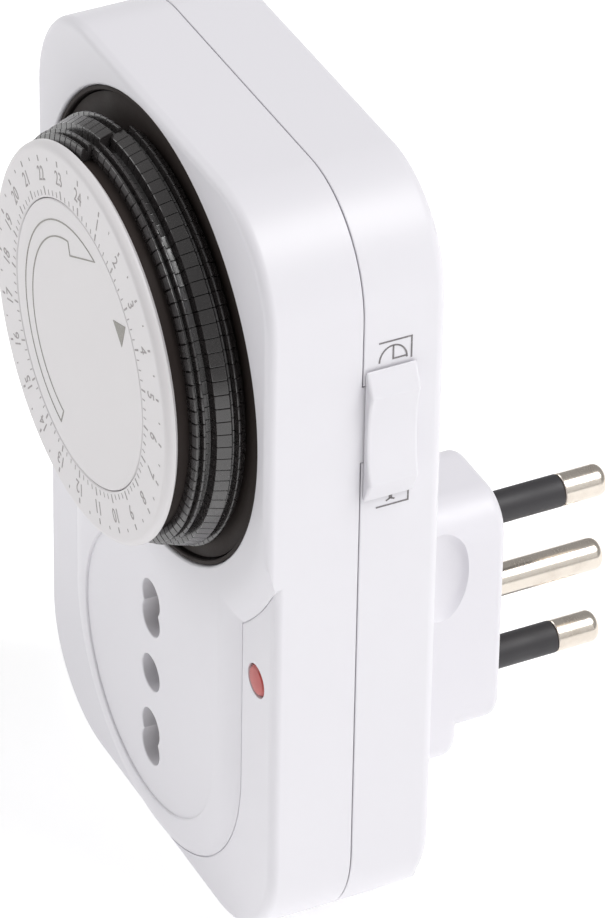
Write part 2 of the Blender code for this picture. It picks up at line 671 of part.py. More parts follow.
def make_moving_contact(finish):
    """A rivet through the lever's arm, with its head towards the fixed contact."""
    low_y = LEVER_PIVOT_Y - LEVER_THICK / 2
    high_y = LEVER_PIVOT_Y + LEVER_THICK / 2
    profile = [
        (CONTACT_R, low_y - 0.6),
        (CONTACT_R, low_y - 0.1),
        (RIVET_R, low_y - 0.1),
        (RIVET_R, high_y + 0.1),
        (CONTACT_R, high_y + 0.1),
        (CONTACT_R, high_y + 0.6),
    ]
    return finished(turned("moving_contact", profile, (STRIP_X, DIAL_Z), 12), finish)


def make_fixed_contact(finish):
    """A strip on the back of the mechanism plate that the moving contact closes on."""
    low = (STRIP_X - STRIP_HALF_WIDTH, PLATE_BACK_Y + GAP, STRIP_LOW_Z)
    high = (STRIP_X + STRIP_HALF_WIDTH, PLATE_BACK_Y + FIXED_STRIP_END, DIAL_Z + 3)
    strip = box("fixed_contact", low, high)
    return finished(strip, finish)


def make_slider(finish):
    """The outside grip with a scooped face, and the stem that reaches through the slot."""
    outside = HALF_WIDTH + GAP
    top = outside + SLIDER_PROUD
    half = SLIDER_LENGTH / 2
    knob_outline = [
        (outside, SLIDER_Z - half),
        (outside + 0.6, SLIDER_Z - half),
        (top, SLIDER_Z - half + 2.2),
    ]
    for i in range(1, 8):
        share = -1 + i / 4
        knob_outline.append((top - 0.9 * (1 - share * share), SLIDER_Z + share * (half - 2.2)))
    knob_outline += [
        (top, SLIDER_Z + half - 2.2),
        (outside + 0.6, SLIDER_Z + half),
        (outside, SLIDER_Z + half),
    ]
    low_y = SLIDER_Y - SLIDER_WIDTH / 2
    slider = prism("override_slider", knob_outline, low_y, low_y + SLIDER_WIDTH)
    stem_low = (HALF_WIDTH - WALL - 1.6, SLIDER_Y - STEM_WIDTH / 2, SLIDER_Z - STEM_LENGTH / 2)
    stem_high = (outside + 0.5, SLIDER_Y + STEM_WIDTH / 2, SLIDER_Z + STEM_LENGTH / 2)
    joined(slider, box("stem", stem_low, stem_high))
    foot_low = (HALF_WIDTH - WALL - 1.6, SLIDER_Y - 2.4, SLIDER_Z - STEM_LENGTH / 2)
    foot_high = (HALF_WIDTH - WALL - GAP, SLIDER_Y + 2.4, SLIDER_Z + STEM_LENGTH / 2)
    joined(slider, box("foot", foot_low, foot_high))
    return origin_to(finished(slider, finish), HALF_WIDTH, SLIDER_Y, SLIDER_Z)


def make_lens(finish):
    profile = [
        (LENS_R * 0.45, MARGIN_Y - LENS_PROUD),
        (LENS_R * 0.85, MARGIN_Y - LENS_PROUD * 0.7),
        (LENS_R, MARGIN_Y - 0.1),
        (LENS_R, CAVITY_FRONT_Y + GAP),
        (LENS_R + LENS_FLANGE, CAVITY_FRONT_Y + GAP),
        (LENS_R + LENS_FLANGE, CAVITY_FRONT_Y + GAP + 0.8),
    ]
    return finished(turned("indicator_lens", profile, (LENS_X, LENS_Z), 20), finish)


def make_neon(finish):
    low = CAVITY_FRONT_Y + 2 * GAP + 0.8
    profile = [(0.8, low), (NEON_R, low + 1), (NEON_R, SEAM_Y), (1.0, SEAM_Y + 0.8)]
    return finished(turned("neon_lamp", profile, (LENS_X, LENS_Z), 12), finish)


def make_resistor(finish):
    """The lamp's series resistor, standing on the rear cover's wall behind it."""
    profile = [
        (1.0, SEAM_Y + 1.1),
        (1.5, SEAM_Y + 1.9),
        (1.5, BACK_Y - WALL - 1),
        (1.0, BACK_Y - WALL - GAP),
    ]
    return finished(turned("lamp_resistor", profile, (LENS_X, LENS_Z), 12), finish)


def make_clip(name, low_z, high_z, finish):
    """A socket contact: two leaves beside the pins, joined by a back plate."""
    half = HOLE_R + 0.1
    outer = half + CLIP_LEAF
    outline = [
        (-outer, CLIP_FRONT_Y), (-half, CLIP_FRONT_Y), (-half, CLIP_BACK_Y - CLIP_LEAF),
        (half, CLIP_BACK_Y - CLIP_LEAF), (half, CLIP_FRONT_Y), (outer, CLIP_FRONT_Y),
        (outer, CLIP_BACK_Y), (-outer, CLIP_BACK_Y),
    ]
    rings = [[(x, y, z) for x, y in outline] for z in (low_z, high_z)]
    return finished(rings_to_object(name, rings), finish)


def make_socket_carrier(finish):
    """The insulating block behind the front wall that holds the three contacts."""
    low_z = SOCKET_Z - LARGE_PITCH - CARRIER_MARGIN
    high_z = SOCKET_Z + LARGE_PITCH + CARRIER_MARGIN
    low = (-CARRIER_HALF_WIDTH, CAVITY_FRONT_Y + GAP, low_z)
    block = box("contact_carrier", low, (CARRIER_HALF_WIDTH, CLIP_BACK_Y - 1.5, high_z))
    half = HOLE_R + 0.1 + CLIP_LEAF + GAP
    for low, high in contact_spans():
        pocket_low = (-half, CLIP_FRONT_Y - GAP, low - GAP)
        cut(block, box("pocket", pocket_low, (half, CLIP_BACK_Y + 1, high + GAP)))
        mouth_low = (-HOLE_R - 0.1, CAVITY_FRONT_Y - 1, low)
        cut(block, box("mouth", mouth_low, (HOLE_R + 0.1, CLIP_BACK_Y, high)))
    return finished(block, finish)


def contact_spans():
    """The (low, high) heights of the neutral, earth and line contacts."""
    return [
        (SOCKET_Z - LARGE_PITCH - HOLE_R - 0.4, SOCKET_Z - SMALL_PITCH + HOLE_R + 0.2),
        (SOCKET_Z - HOLE_R - 0.4, SOCKET_Z + HOLE_R + 0.4),
        (SOCKET_Z + SMALL_PITCH - HOLE_R - 0.2, SOCKET_Z + LARGE_PITCH + HOLE_R + 0.4),
    ]


def make_pins(metal, sleeve_finish):
    tip = PLUG_FACE_Y + PIN_LENGTH
    sleeve_end = tip - BARE_TIP
    places = (("neutral", -LARGE_PITCH, CLIP_BACK_Y + GAP), ("earth", 0.0, CLIP_BACK_Y + GAP),
              ("line", LARGE_PITCH, LINE_PIN_FRONT_Y))
    for name, offset, inner_y in places:
        centre = (0.0, PLUG_Z + offset)
        root_y = PLUG_FACE_Y - 3
        core = PIN_R if name == "earth" else PIN_CORE_R
        profile = [
            (PIN_CORE_R, inner_y),
            (PIN_CORE_R, root_y - GAP),
            (core, root_y - GAP),
            (core, sleeve_end),
            (PIN_R, sleeve_end),
            (PIN_R, tip - 1.0),
            (PIN_R - 0.4, tip - 0.3),
            (PIN_R - 1.0, tip),
        ]
        if name == "earth":
            profile.pop(4)
        else:
            profile.pop(2)
        finished(turned(f"{name}_pin", profile, centre, 20), metal)
        if name != "earth":
            bore = PIN_CORE_R + 0.12
            end = sleeve_end - 0.12
            sleeve = ring_of(f"{name}_pin_sleeve", PIN_R, bore, centre, root_y, end, 20)
            finished(sleeve, sleeve_finish)


def make_pin_holder(finish):
    """The insulating block inside the plug boss that the three pins pass through."""
    holder = prism("pin_holder", boss_outline(WALL + GAP), STAGE_END_Y - 12, PLUG_FACE_Y - 3 - 2 * GAP)
    for offset in (-LARGE_PITCH, 0.0, LARGE_PITCH):
        place = (0.0, PLUG_Z + offset)
        cut(holder, rod("bore", PIN_CORE_R + 0.12, place, STAGE_END_Y - 14, PLUG_FACE_Y, 20))
    return finished(holder, finish)


def make_line_bus(finish):
    """The strip from the line pin up towards the switch's fixed contact."""
    low_y = LINE_PIN_FRONT_Y - GAP - STRIP_THICK
    left = STRIP_X - STRIP_HALF_WIDTH
    right = STRIP_X + STRIP_HALF_WIDTH
    low = PLUG_Z + LARGE_PITCH - STRIP_HALF_WIDTH
    high = PLUG_Z + LARGE_PITCH + STRIP_HALF_WIDTH
    outline = [(-STRIP_HALF_WIDTH, low), (right, low), (right, STRIP_LOW_Z), (left, STRIP_LOW_Z),
               (left, high), (-STRIP_HALF_WIDTH, high)]
    bus = prism("line_bus", outline, low_y, low_y + STRIP_THICK)
    riser_low = (left, PLATE_BACK_Y + FIXED_STRIP_END + GAP, STRIP_LOW_Z - STRIP_THICK)
    joined(bus, box("riser", riser_low, (right, low_y + STRIP_THICK, STRIP_LOW_Z)))
    return finished(bus, finish)


def make_load_bus(finish):
    """The strip from the switch lever's side down to the line contact of the socket."""
    low_y = CLIP_BACK_Y + GAP
    line_low, line_high = contact_spans()[2]
    left = LEVER_PIVOT_X - EAR_HALF_WIDTH
    right = LEVER_PIVOT_X + EAR_HALF_WIDTH
    top = DIAL_Z - LOAD_BUS_DROP
    outline = [(-STRIP_HALF_WIDTH, line_low + 1), (right, line_low + 1), (right, top),
               (left, top), (left, line_high - 1), (-STRIP_HALF_WIDTH, line_high - 1)]
    bus = prism("load_bus", outline, low_y, low_y + STRIP_THICK)
    tab_low = (left, LEVER_PIVOT_Y + EAR_HALF_WIDTH + GAP, top - STRIP_THICK)
    joined(bus, box("tab", tab_low, (right, low_y + STRIP_THICK, top)))
    return finished(bus, finish)


def make_screws(finish):
    for index, place in enumerate(screw_places()):
        profile = [
            (SHANK_R * 0.6, CAVITY_FRONT_Y + 1.6),
            (SHANK_R, CAVITY_FRONT_Y + 2.6),
            (SHANK_R, HEAD_SEAT_Y - GAP),
            (HEAD_R * 0.55, HEAD_SEAT_Y + 0.1),
            (HEAD_R, HEAD_SEAT_Y + 0.1),
            (HEAD_R, HEAD_SEAT_Y + 1.3),
            (HEAD_R * 0.7, HEAD_SEAT_Y + 1.9),
        ]
        finished(turned(f"housing_screw_{index + 1}", profile, place, 12), finish)


def build():
    clear_scene()
    white = material("white_shell", (0.85, 0.85, 0.86), 0.45)
    white_dial = material("white_dial", (0.82, 0.81, 0.82), 0.5)
    black = material("black_plastic", (0.02, 0.018, 0.018), 0.4)
    nickel = material("nickel", (0.72, 0.66, 0.6), 0.25, 1.0)
    sleeve = material("black_sleeve", (0.03, 0.028, 0.03), 0.5)
    brass = material("brass", (0.7, 0.52, 0.25), 0.3, 1.0)
    steel = material("zinc_steel", (0.6, 0.6, 0.62), 0.35, 1.0)
    nylon = material("nylon", (0.75, 0.74, 0.7), 0.5)
    red = material("red_lens", (0.6, 0.05, 0.05), 0.2)
    glass = material("lamp_glass", (0.8, 0.75, 0.7), 0.1)
    silver = material("silver_contact", (0.8, 0.8, 0.78), 0.3, 1.0)
    ceramic = material("ceramic", (0.45, 0.35, 0.25), 0.6)

    make_front_cover(white)
    make_rear_cover(white)
    make_dial_disc(white_dial)
    make_centre_plate(white_dial)
    make_spindle(steel)
    make_carrier(black)
    make_banks(black)
    make_mechanism_plate(black)
    make_reduction_gear(nylon)
    make_motor_pinion(nylon)
    make_motor(steel)
    make_motor_bracket(nylon)
    make_lever(nylon)
    make_lever_pin(steel)
    make_moving_contact(silver)
    make_fixed_contact(brass)
    make_slider(white)
    make_lens(red)
    make_neon(glass)
    make_resistor(ceramic)
    for name, (low, high) in zip(("neutral", "earth", "line"), contact_spans()):
        make_clip(f"{name}_contact", low, high, brass)
    make_socket_carrier(nylon)
    make_pins(nickel, sleeve)
    make_pin_holder(nylon)
    make_line_bus(brass)
    make_load_bus(brass)
    make_screws(steel)


build()
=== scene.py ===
# %% [markdown]
# # A plug-in day timer, finished in Blender
#
# The CAD frame already holds every part in its true place. This lesson builds the surfaces that the eye
# meets around that frame: the soft white housing, the printed dial, the ring of black push tabs, the
# slider on the side, the lamp and the plug pins. Hidden parts keep their CAD shape and get a finish.

import json
import math

import bmesh
import bpy
from mathutils import Matrix, Vector


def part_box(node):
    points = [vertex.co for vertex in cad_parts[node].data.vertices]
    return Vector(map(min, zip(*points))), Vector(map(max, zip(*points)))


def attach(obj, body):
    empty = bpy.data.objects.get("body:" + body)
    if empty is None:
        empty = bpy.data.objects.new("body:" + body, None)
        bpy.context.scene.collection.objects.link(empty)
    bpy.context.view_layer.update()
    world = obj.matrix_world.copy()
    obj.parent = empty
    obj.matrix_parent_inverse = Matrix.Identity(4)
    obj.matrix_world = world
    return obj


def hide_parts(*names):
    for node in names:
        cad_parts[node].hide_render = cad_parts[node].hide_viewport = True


for leftover in ("Cube", "Light", "Camera"):
    if leftover in bpy.data.objects:
        bpy.data.objects.remove(bpy.data.objects[leftover], do_unlink=True)
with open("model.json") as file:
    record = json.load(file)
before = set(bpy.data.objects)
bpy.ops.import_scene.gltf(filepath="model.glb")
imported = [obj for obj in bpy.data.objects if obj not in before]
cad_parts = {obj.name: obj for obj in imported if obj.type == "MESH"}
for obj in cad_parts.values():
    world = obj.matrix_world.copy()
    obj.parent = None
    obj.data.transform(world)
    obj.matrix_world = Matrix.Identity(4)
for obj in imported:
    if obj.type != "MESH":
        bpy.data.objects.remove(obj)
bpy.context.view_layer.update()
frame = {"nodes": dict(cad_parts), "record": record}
MM = 0.001

# %% [markdown]
# ## Sizes read from the frame
#
# A piece that is measured from the CAD boxes stays right when the CAD changes, so the main sizes are
# read from the boxes of its nodes. Everything here is worked out in millimetres. X runs to the right of
# someone facing the dial, Y back to the wall, and Z up.


# %% Main sizes
def box_mm(node):
    low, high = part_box(node)
    return [value / MM for value in low], [value / MM for value in high]


cover_low, cover_high = box_mm("front_cover")
rear_low, rear_high = box_mm("rear_cover")
disc_low, disc_high = box_mm("dial_disc")
HALF_WIDTH = cover_high[0]
BODY_HEIGHT = cover_high[2]
FRONT_Y = cover_low[1]
SEAM_Y = cover_high[1]
REAR_START_Y = rear_low[1]
PLUG_FACE_Y = rear_high[1]
DISC_R = (disc_high[0] - disc_low[0]) / 2
DISC_FRONT_Y = disc_low[1]
DISC_BACK_Y = disc_high[1]
DIAL_Z = (disc_low[2] + disc_high[2]) / 2
DIAL_AXIS = (0.0, DIAL_Z)
SOCKET_Z = sum(box_mm("earth_contact")[i][2] for i in (0, 1)) / 2
PLUG_Z = sum(box_mm("earth_pin")[i][2] for i in (0, 1)) / 2
PITCH = sum(box_mm("line_pin")[i][2] for i in (0, 1)) / 2 - PLUG_Z
print("dial height", round(DIAL_Z, 2), "disc radius", round(DISC_R, 2), "pin pitch", round(PITCH, 2))

# %% Sizes that the boxes don't show
STEP_DEPTH = 1.4
MARGIN_Y = FRONT_Y + STEP_DEPTH
BACK_Y = 18.0
WALL = 2.0
CAVITY_FRONT_Y = MARGIN_Y + WALL
TOP_CORNER_R = 16.0
BOTTOM_CORNER_R = 17.0
EDGE_R = 1.4
BACK_EDGE_R = 1.8
STEP_R = HALF_WIDTH + 5.2
PLATE_R = SOCKET_Z - 0.8
WELL_R = 33.1
COLLAR_END_Y = -0.5
PLATE_FRONT_Y = -3.0
HOLE_R = 2.8
SMALL_PITCH = 9.5
RECESS_R = PLATE_R - 5.7
RECESS_DEPTH = 0.35
SCREW_PLACES = [(x, z) for z in (8.6, BODY_HEIGHT - 8.2) for x in (-HALF_WIDTH + 6.9, HALF_WIDTH - 6.9)]

# %% [markdown]
# ## The camera
#
# The view is a long lens from the right and above. The camera looks down its own -Z axis, so its matrix
# is built from three directions: right, up, and back towards the camera. A small roll turns right and up
# about the line of sight.

# %% Camera
AZIMUTH, ELEVATION, ROLL = 63.215, 35.480, 1.036
TARGET = Vector((46.43, -8.0, 94.16)) * MM
DISTANCE = 795.52 * MM

turn, lift, tilt = (math.radians(v) for v in (AZIMUTH, ELEVATION, ROLL))
back = Vector((math.sin(turn) * math.cos(lift), -math.cos(turn) * math.cos(lift), math.sin(lift)))
level = Vector((math.cos(turn), math.sin(turn), 0.0))
upright = back.cross(level)
right = math.cos(tilt) * level + math.sin(tilt) * upright
up = math.cos(tilt) * upright - math.sin(tilt) * level
lens = bpy.data.cameras.new("camera")
lens.lens = 244.5
lens.sensor_width = 36.0
lens.clip_start = 0.05
lens.clip_end = 20.0
camera = bpy.data.objects.new("camera", lens)
facing = Matrix((right, up, back)).transposed().to_4x4()
camera.matrix_world = Matrix.Translation(TARGET + back * DISTANCE) @ facing
bpy.context.scene.collection.objects.link(camera)
bpy.context.scene.camera = camera
print("camera at", [round(v, 3) for v in camera.matrix_world.translation])

# %% [markdown]
# ## Shader maths as plain expressions
#
# A procedural finish is mostly arithmetic: scale a noise, shift it, and keep only its peaks. In the node
# editor each step is a Math node. The small class below wraps one socket, so that the same sum
# can be written as Python. Every operator adds its Math node and returns the new socket, wrapped again.


# %% Socket arithmetic
class Wire:
    def __init__(self, finish, socket):
        self.finish = finish
        self.socket = socket

    def math(self, operation, *others):
        return self.finish.node("ShaderNodeMath", {"operation": operation}, [self, *others])

    def __add__(self, other):
        return self.math("ADD", other)

    def __radd__(self, other):
        return self.math("ADD", other)

    def __sub__(self, other):
        return self.math("SUBTRACT", other)

    def __rsub__(self, other):
        return self.finish.node("ShaderNodeMath", {"operation": "SUBTRACT"}, [other, self])

    def __mul__(self, other):
        return self.math("MULTIPLY", other)

    def __rmul__(self, other):
        return self.math("MULTIPLY", other)

    def clamp(self):
        return self.math("MAXIMUM", 0.0).math("MINIMUM", 1.0)


class Finish:
    """One material, and the one method that adds its nodes."""

    def __init__(self, name):
        self.material = bpy.data.materials.new(name)
        self.material.use_nodes = True
        self.tree = self.material.node_tree
        self.shader = self.tree.nodes["Principled BSDF"]

    def node(self, kind, settings, inputs, output=0):
        """Adds a node: settings first, then socket values or links, by name or in order."""
        made = self.tree.nodes.new(kind)
        for key, value in settings.items():
            setattr(made, key, value)
        pairs = inputs.items() if isinstance(inputs, dict) else enumerate(inputs)
        for key, value in pairs:
            self.fill(made.inputs[key], value)
        return Wire(self, made.outputs[output])

    def fill(self, socket, value):
        if isinstance(value, Wire):
            self.tree.links.new(value.socket, socket)
        else:
            socket.default_value = value

    def set(self, **values):
        """Sets sockets of the Principled shader; Base_Color stands for Base Color."""
        for key, value in values.items():
            self.fill(self.shader.inputs[key.replace("_", " ")], value)
        return self

    def place(self):
        """Object coordinates in metres, the same for every piece because the pieces share one frame."""
        return self.node("ShaderNodeTexCoord", {}, {}, "Object")

    def noise(self, size_mm, detail=2.0, roughness=0.5, stretch=(1, 1, 1)):
        """A noise whose lumps are about size_mm across, from 0 to 1."""
        scaled = self.node("ShaderNodeVectorMath", {"operation": "MULTIPLY"}, [self.place(), stretch])
        settings = {"noise_dimensions": "3D"}
        values = {"Vector": scaled, "Scale": 1 / (size_mm * MM), "Detail": detail, "Roughness": roughness}
        return self.node("ShaderNodeTexNoise", settings, values)

    def mix(self, share, first, second):
        """Two colours mixed; a Math node would turn them grey."""
        sockets = {0: share, 6: first, 7: second}
        return self.node("ShaderNodeMix", {"data_type": "RGBA"}, sockets, output=2)

    def bump(self, height, depth_mm, strength):
        values = {"Strength": strength, "Distance": depth_mm * MM, "Height": height}
        return self.node("ShaderNodeBump", {}, values)


print("shader helpers ready")

# %% [markdown]
# ## The finishes
#
# Each finish starts from what the maker did to the part. The housing is moulded in a mould whose steel was
# eroded by sparks, which leaves pits about a tenth of a millimetre across: they hardly show as dots, but
# they blur reflections, so they go into the bump and a little into the roughness. Slow waves in roughness
# are the flow of the plastic. Black parts are smoother and show fine dust. Metal parts are drawn or turned,
# so their marks are stretched one way.


# %% White mouldings
def moulded(name, colour, pit_mm, pit_depth_mm, roughness, spread, specular=0.5):
    finish = Finish(name)
    flow = finish.noise(18.0, 2.0)
    pits = finish.noise(pit_mm, 3.0, 0.6)
    dust = finish.noise(1.6, 5.0, 0.7)
    shade = finish.mix((flow - 0.5) * 0.5 + 0.5, colour, tuple(c * 0.975 for c in colour[:3]) + (1.0,))
    dusty = finish.mix((dust - 0.66).math("MAXIMUM", 0.0) * 0.6, shade, (0.55, 0.54, 0.52, 1.0))
    finish.set(
        Base_Color=dusty,
        Roughness=(flow - 0.5) * spread + (pits - 0.5) * spread + roughness,
        Normal=finish.bump(pits, pit_depth_mm, 0.55),
        Specular_IOR_Level=specular,
    )
    return finish.material


white_shell = moulded("white_shell", (0.715, 0.702, 0.738, 1.0), 0.16, 0.006, 0.42, 0.10)
white_dial = moulded("white_dial", (0.655, 0.635, 0.645, 1.0), 0.10, 0.003, 0.46, 0.08)
print("white finishes:", white_shell.name, white_dial.name)


# %% Black mouldings, rubber and print
def black_moulding(name, colour, roughness, dust_level, pit_depth_mm, specular=0.5):
    finish = Finish(name)
    flow = finish.noise(6.0, 3.0)
    grain = finish.noise(0.25, 4.0, 0.65)
    dust = finish.noise(0.5, 6.0, 0.75)
    specks = ((dust - 0.62).math("MAXIMUM", 0.0) * 4.0).clamp()
    finish.set(
        Base_Color=finish.mix(specks * dust_level, colour, (0.30, 0.27, 0.25, 1.0)),
        Roughness=(flow - 0.5) * 0.25 + (grain - 0.5) * 0.2 + specks * 0.2 + roughness,
        Normal=finish.bump(grain, pit_depth_mm, 0.6),
        Specular_IOR_Level=specular,
    )
    return finish.material


black_plastic = black_moulding("black_plastic", (0.024, 0.021, 0.021, 1.0), 0.24, 0.25, 0.003, 0.9)
well_black = black_moulding("well_black", (0.022, 0.015, 0.013, 1.0), 0.72, 0.10, 0.008, 0.25)
black_sleeve = black_moulding("black_sleeve", (0.030, 0.028, 0.031, 1.0), 0.55, 0.10, 0.006)


def ink(name, colour):
    finish = Finish(name)
    wear = finish.noise(0.22, 4.0, 0.7)
    finish.set(
        Base_Color=finish.mix((wear - 0.52).math("MAXIMUM", 0.0) * 2.4, colour, (0.62, 0.60, 0.60, 1.0)),
        Roughness=wear * 0.2 + 0.5,
    )
    return finish.material


scale_ink = ink("scale_ink", (0.30, 0.28, 0.28, 1.0))
arrow_ink = ink("arrow_ink", (0.26, 0.25, 0.23, 1.0))
symbol_ink = ink("symbol_ink", (0.16, 0.15, 0.155, 1.0))
print("black and ink finishes made")


# %% Metals
def metal(name, colour, roughness, stretch, mark_mm, tarnish):
    finish = Finish(name)
    marks = finish.noise(mark_mm, 4.0, 0.6, stretch)
    cloud = finish.noise(3.0, 3.0)
    finish.set(
        Base_Color=finish.mix((cloud - 0.45).math("MAXIMUM", 0.0) * 2.0, colour, tarnish),
        Metallic=1.0,
        Roughness=(marks - 0.5) * 0.22 + (cloud - 0.5) * 0.1 + roughness,
        Normal=finish.bump(marks, 0.002, 0.5),
    )
    return finish.material


nickel = metal("nickel", (0.70, 0.64, 0.57, 1.0), 0.24, (1, 9, 1), 0.5, (0.55, 0.48, 0.41, 1.0))
brass = metal("brass", (0.72, 0.50, 0.22, 1.0), 0.30, (1, 1, 6), 0.4, (0.50, 0.33, 0.15, 1.0))
zinc_steel = metal("zinc_steel", (0.58, 0.59, 0.61, 1.0), 0.34, (1, 8, 1), 0.5, (0.45, 0.46, 0.50, 1.0))
SILVER_CLOUD = (0.60, 0.58, 0.55, 1.0)
silver_contact = metal("silver_contact", (0.80, 0.79, 0.77, 1.0), 0.28, (1, 1, 1), 0.3, SILVER_CLOUD)
print("metal finishes made")

# %% Nylon, ceramic, lens and glass
nylon = moulded("nylon", (0.68, 0.67, 0.62, 1.0), 0.20, 0.008, 0.50, 0.10)
ceramic = moulded("ceramic", (0.42, 0.33, 0.22, 1.0), 0.30, 0.015, 0.65, 0.12)

lens_finish = Finish("red_lens")
swirl = lens_finish.noise(0.9, 3.0)
lens_finish.set(
    Base_Color=lens_finish.mix(swirl, (0.36, 0.036, 0.032, 1.0), (0.50, 0.075, 0.066, 1.0)),
    Roughness=swirl * 0.10 + 0.30,
    Coat_Weight=0.1,
    IOR=1.49,
)
red_lens = lens_finish.material

glass_finish = Finish("lamp_glass")
ripple = glass_finish.noise(1.5, 2.0)
glass_finish.set(
    Base_Color=(0.86, 0.80, 0.74, 1.0),
    Roughness=ripple * 0.06 + 0.05,
    Transmission_Weight=0.8,
    IOR=1.5,
)
lamp_glass = glass_finish.material
print("lens and glass made")

# %% Finish the CAD nodes
FINISH_OF_SLOT = {
    "white_shell": white_shell,
    "white_dial": white_dial,
    "black_plastic": black_plastic,
    "nickel": nickel,
    "black_sleeve": black_sleeve,
    "brass": brass,
    "zinc_steel": zinc_steel,
    "nylon": nylon,
    "red_lens": red_lens,
    "lamp_glass": lamp_glass,
    "silver_contact": silver_contact,
    "ceramic": ceramic,
}
for subpart in frame["record"]["subparts"]:
    node = frame["nodes"][subpart["node"]]
    node.data.materials.clear()
    node.data.materials.append(FINISH_OF_SLOT[subpart["material_slot"]])
print(len(frame["nodes"]), "CAD nodes finished")

# %% [markdown]
# ## Shaping helpers
#
# Almost every moulding here is a stack of closed outlines: the outline stays the same while it moves along
# Y, and it shrinks a little where an edge is rounded. So one helper joins rings into a skin, and the rest
# only say what the rings are. Holes and pockets are cut with exact Booleans.


# %% Rings, turned shapes and Booleans
def from_bmesh(name, built):
    bmesh.ops.scale(built, vec=(MM, MM, MM), verts=built.verts)
    bmesh.ops.recalc_face_normals(built, faces=built.faces)
    mesh = bpy.data.meshes.new(name)
    built.to_mesh(mesh)
    built.free()
    thing = bpy.data.objects.new(name, mesh)
    bpy.context.scene.collection.objects.link(thing)
    return thing


def skin(name, rings):
    """Closed rings of equal length joined in order, with a cap on both ends."""
    built = bmesh.new()
    loops = [[built.verts.new(point) for point in ring] for ring in rings]
    for near, far in zip(loops, loops[1:]):
        for i in range(len(near)):
            j = (i + 1) % len(near)
            built.faces.new((near[i], near[j], far[j], far[i]))
    built.faces.new(loops[0])
    built.faces.new(list(reversed(loops[-1])))
    return from_bmesh(name, built)


def arc(centre, radius, start, end, count):
    turns = [math.radians(start + (end - start) * i / count) for i in range(count + 1)]
    return [(centre[0] + radius * math.cos(t), centre[1] + radius * math.sin(t)) for t in turns]


def circle(radius, centre, count):
    return arc(centre, radius, 0, 360, count)[:-1]


def prism(name, outline, low_y, high_y):
    return skin(name, [[(x, y, z) for x, z in outline] for y in (low_y, high_y)])


def turned(name, profile, centre, count=96):
    """Turns (radius, y) points about a line along Y."""
    return skin(name, [[(x, y, z) for x, z in circle(r, centre, count)] for r, y in profile])


def block(name, low, high):
    outline = [(low[0], low[2]), (high[0], low[2]), (high[0], high[2]), (low[0], high[2])]
    return prism(name, outline, low[1], high[1])


def quarter(edge, flat, radius, steps=8):
    """(y, inset) pairs that round an edge whose face is at y = edge; flat is where the wall goes on."""
    inwards = 1 if flat > edge else -1
    pairs = []
    for i in range(steps + 1):
        t = math.radians(90 * i / steps)
        pairs.append((edge + inwards * radius * (1 - math.cos(t)), radius * (1 - math.sin(t))))
    return pairs + [(flat, 0.0)]


def combine(thing, other, operation):
    step = thing.modifiers.new("step", "BOOLEAN")
    step.operation = operation
    step.object = other
    step.solver = "EXACT"
    bpy.context.view_layer.update()
    result = bpy.data.meshes.new_from_object(thing.evaluated_get(bpy.context.evaluated_depsgraph_get()))
    thing.modifiers.clear()
    thing.data = result
    bpy.data.objects.remove(other, do_unlink=True)
    return thing


def cut(thing, other):
    return combine(thing, other, "DIFFERENCE")


def joined(thing, other):
    return combine(thing, other, "UNION")


def soften(points, radius, steps):
    """Rounds each corner of a polygon with a short curve."""
    out = []
    count = len(points)
    for i, here in enumerate(points):
        p = Vector(here)
        before = Vector(points[i - 1]) - p
        after = Vector(points[(i + 1) % count]) - p
        reach = min(radius, before.length * 0.45, after.length * 0.45)
        start = p + before.normalized() * reach
        end = p + after.normalized() * reach
        for k in range(steps + 1):
            t = k / steps
            out.append(tuple((1 - t) ** 2 * start + 2 * t * (1 - t) * p + t * t * end))
    return out


def make_piece(thing, body, finish, replaced=(), sharp=32):
    """Names the finish, smooths round faces, keeps flats flat, and hangs the piece on its body."""
    thing.data.materials.clear()
    thing.data.materials.append(finish)
    thing.data.shade_smooth()
    thing.data.set_sharp_from_angle(angle=math.radians(sharp))
    flat = thing.modifiers.new("flats", "WEIGHTED_NORMAL")
    flat.keep_sharp = True
    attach(thing, body)
    if replaced:
        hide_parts(*replaced)
    return thing


print("shaping helpers ready")

# %% [markdown]
# ## The front cover
#
# The front is two levels. The dial field and the round-footed socket plate stand 1.4 mm proud of the
# margins. The plate rolls down to the margins over several millimetres, so its edge reads as a soft shade
# that ends in a crease, while the outside edge of the box has a small even radius. Both levels are stacks
# of rings, so each ring takes two insets: one for the outside edge and one for the rolled edge. A hairline
# moat where the raised level meets the margins draws the crease, and a short tongue on one side crosses the
# seam beside the override slider.


# %% Front cover outlines
def body_outline(inset, corner=24):
    half = HALF_WIDTH - inset
    low_r, top_r = BOTTOM_CORNER_R - inset, TOP_CORNER_R - inset
    top = BODY_HEIGHT - inset
    points = arc((half - low_r, inset + low_r), low_r, -90, 0, corner)
    points += arc((half - top_r, top - top_r), top_r, 0, 90, corner)
    points += arc((top_r - half, top - top_r), top_r, 90, 180, corner)
    points += arc((low_r - half, inset + low_r), low_r, 180, 270, corner)
    return points


def raised_outline(edge_inset, roll_inset):
    half = HALF_WIDTH - edge_inset
    corner = TOP_CORNER_R - edge_inset
    top = BODY_HEIGHT - edge_inset
    step = STEP_R - roll_inset
    plate = PLATE_R - roll_inset
    side_turn = math.degrees(math.acos(half / step))
    plate_turn = math.degrees(math.acos(plate / step))
    points = arc((0, SOCKET_Z), plate, -180, 0, 96)
    points += arc(DIAL_AXIS, step, -plate_turn, -side_turn, 16)
    points += arc((half - corner, top - corner), corner, 0, 90, 24)
    points += arc((corner - half, top - corner), corner, 90, 180, 24)
    points += arc(DIAL_AXIS, step, 180 + side_turn, 180 + plate_turn, 16)
    return points


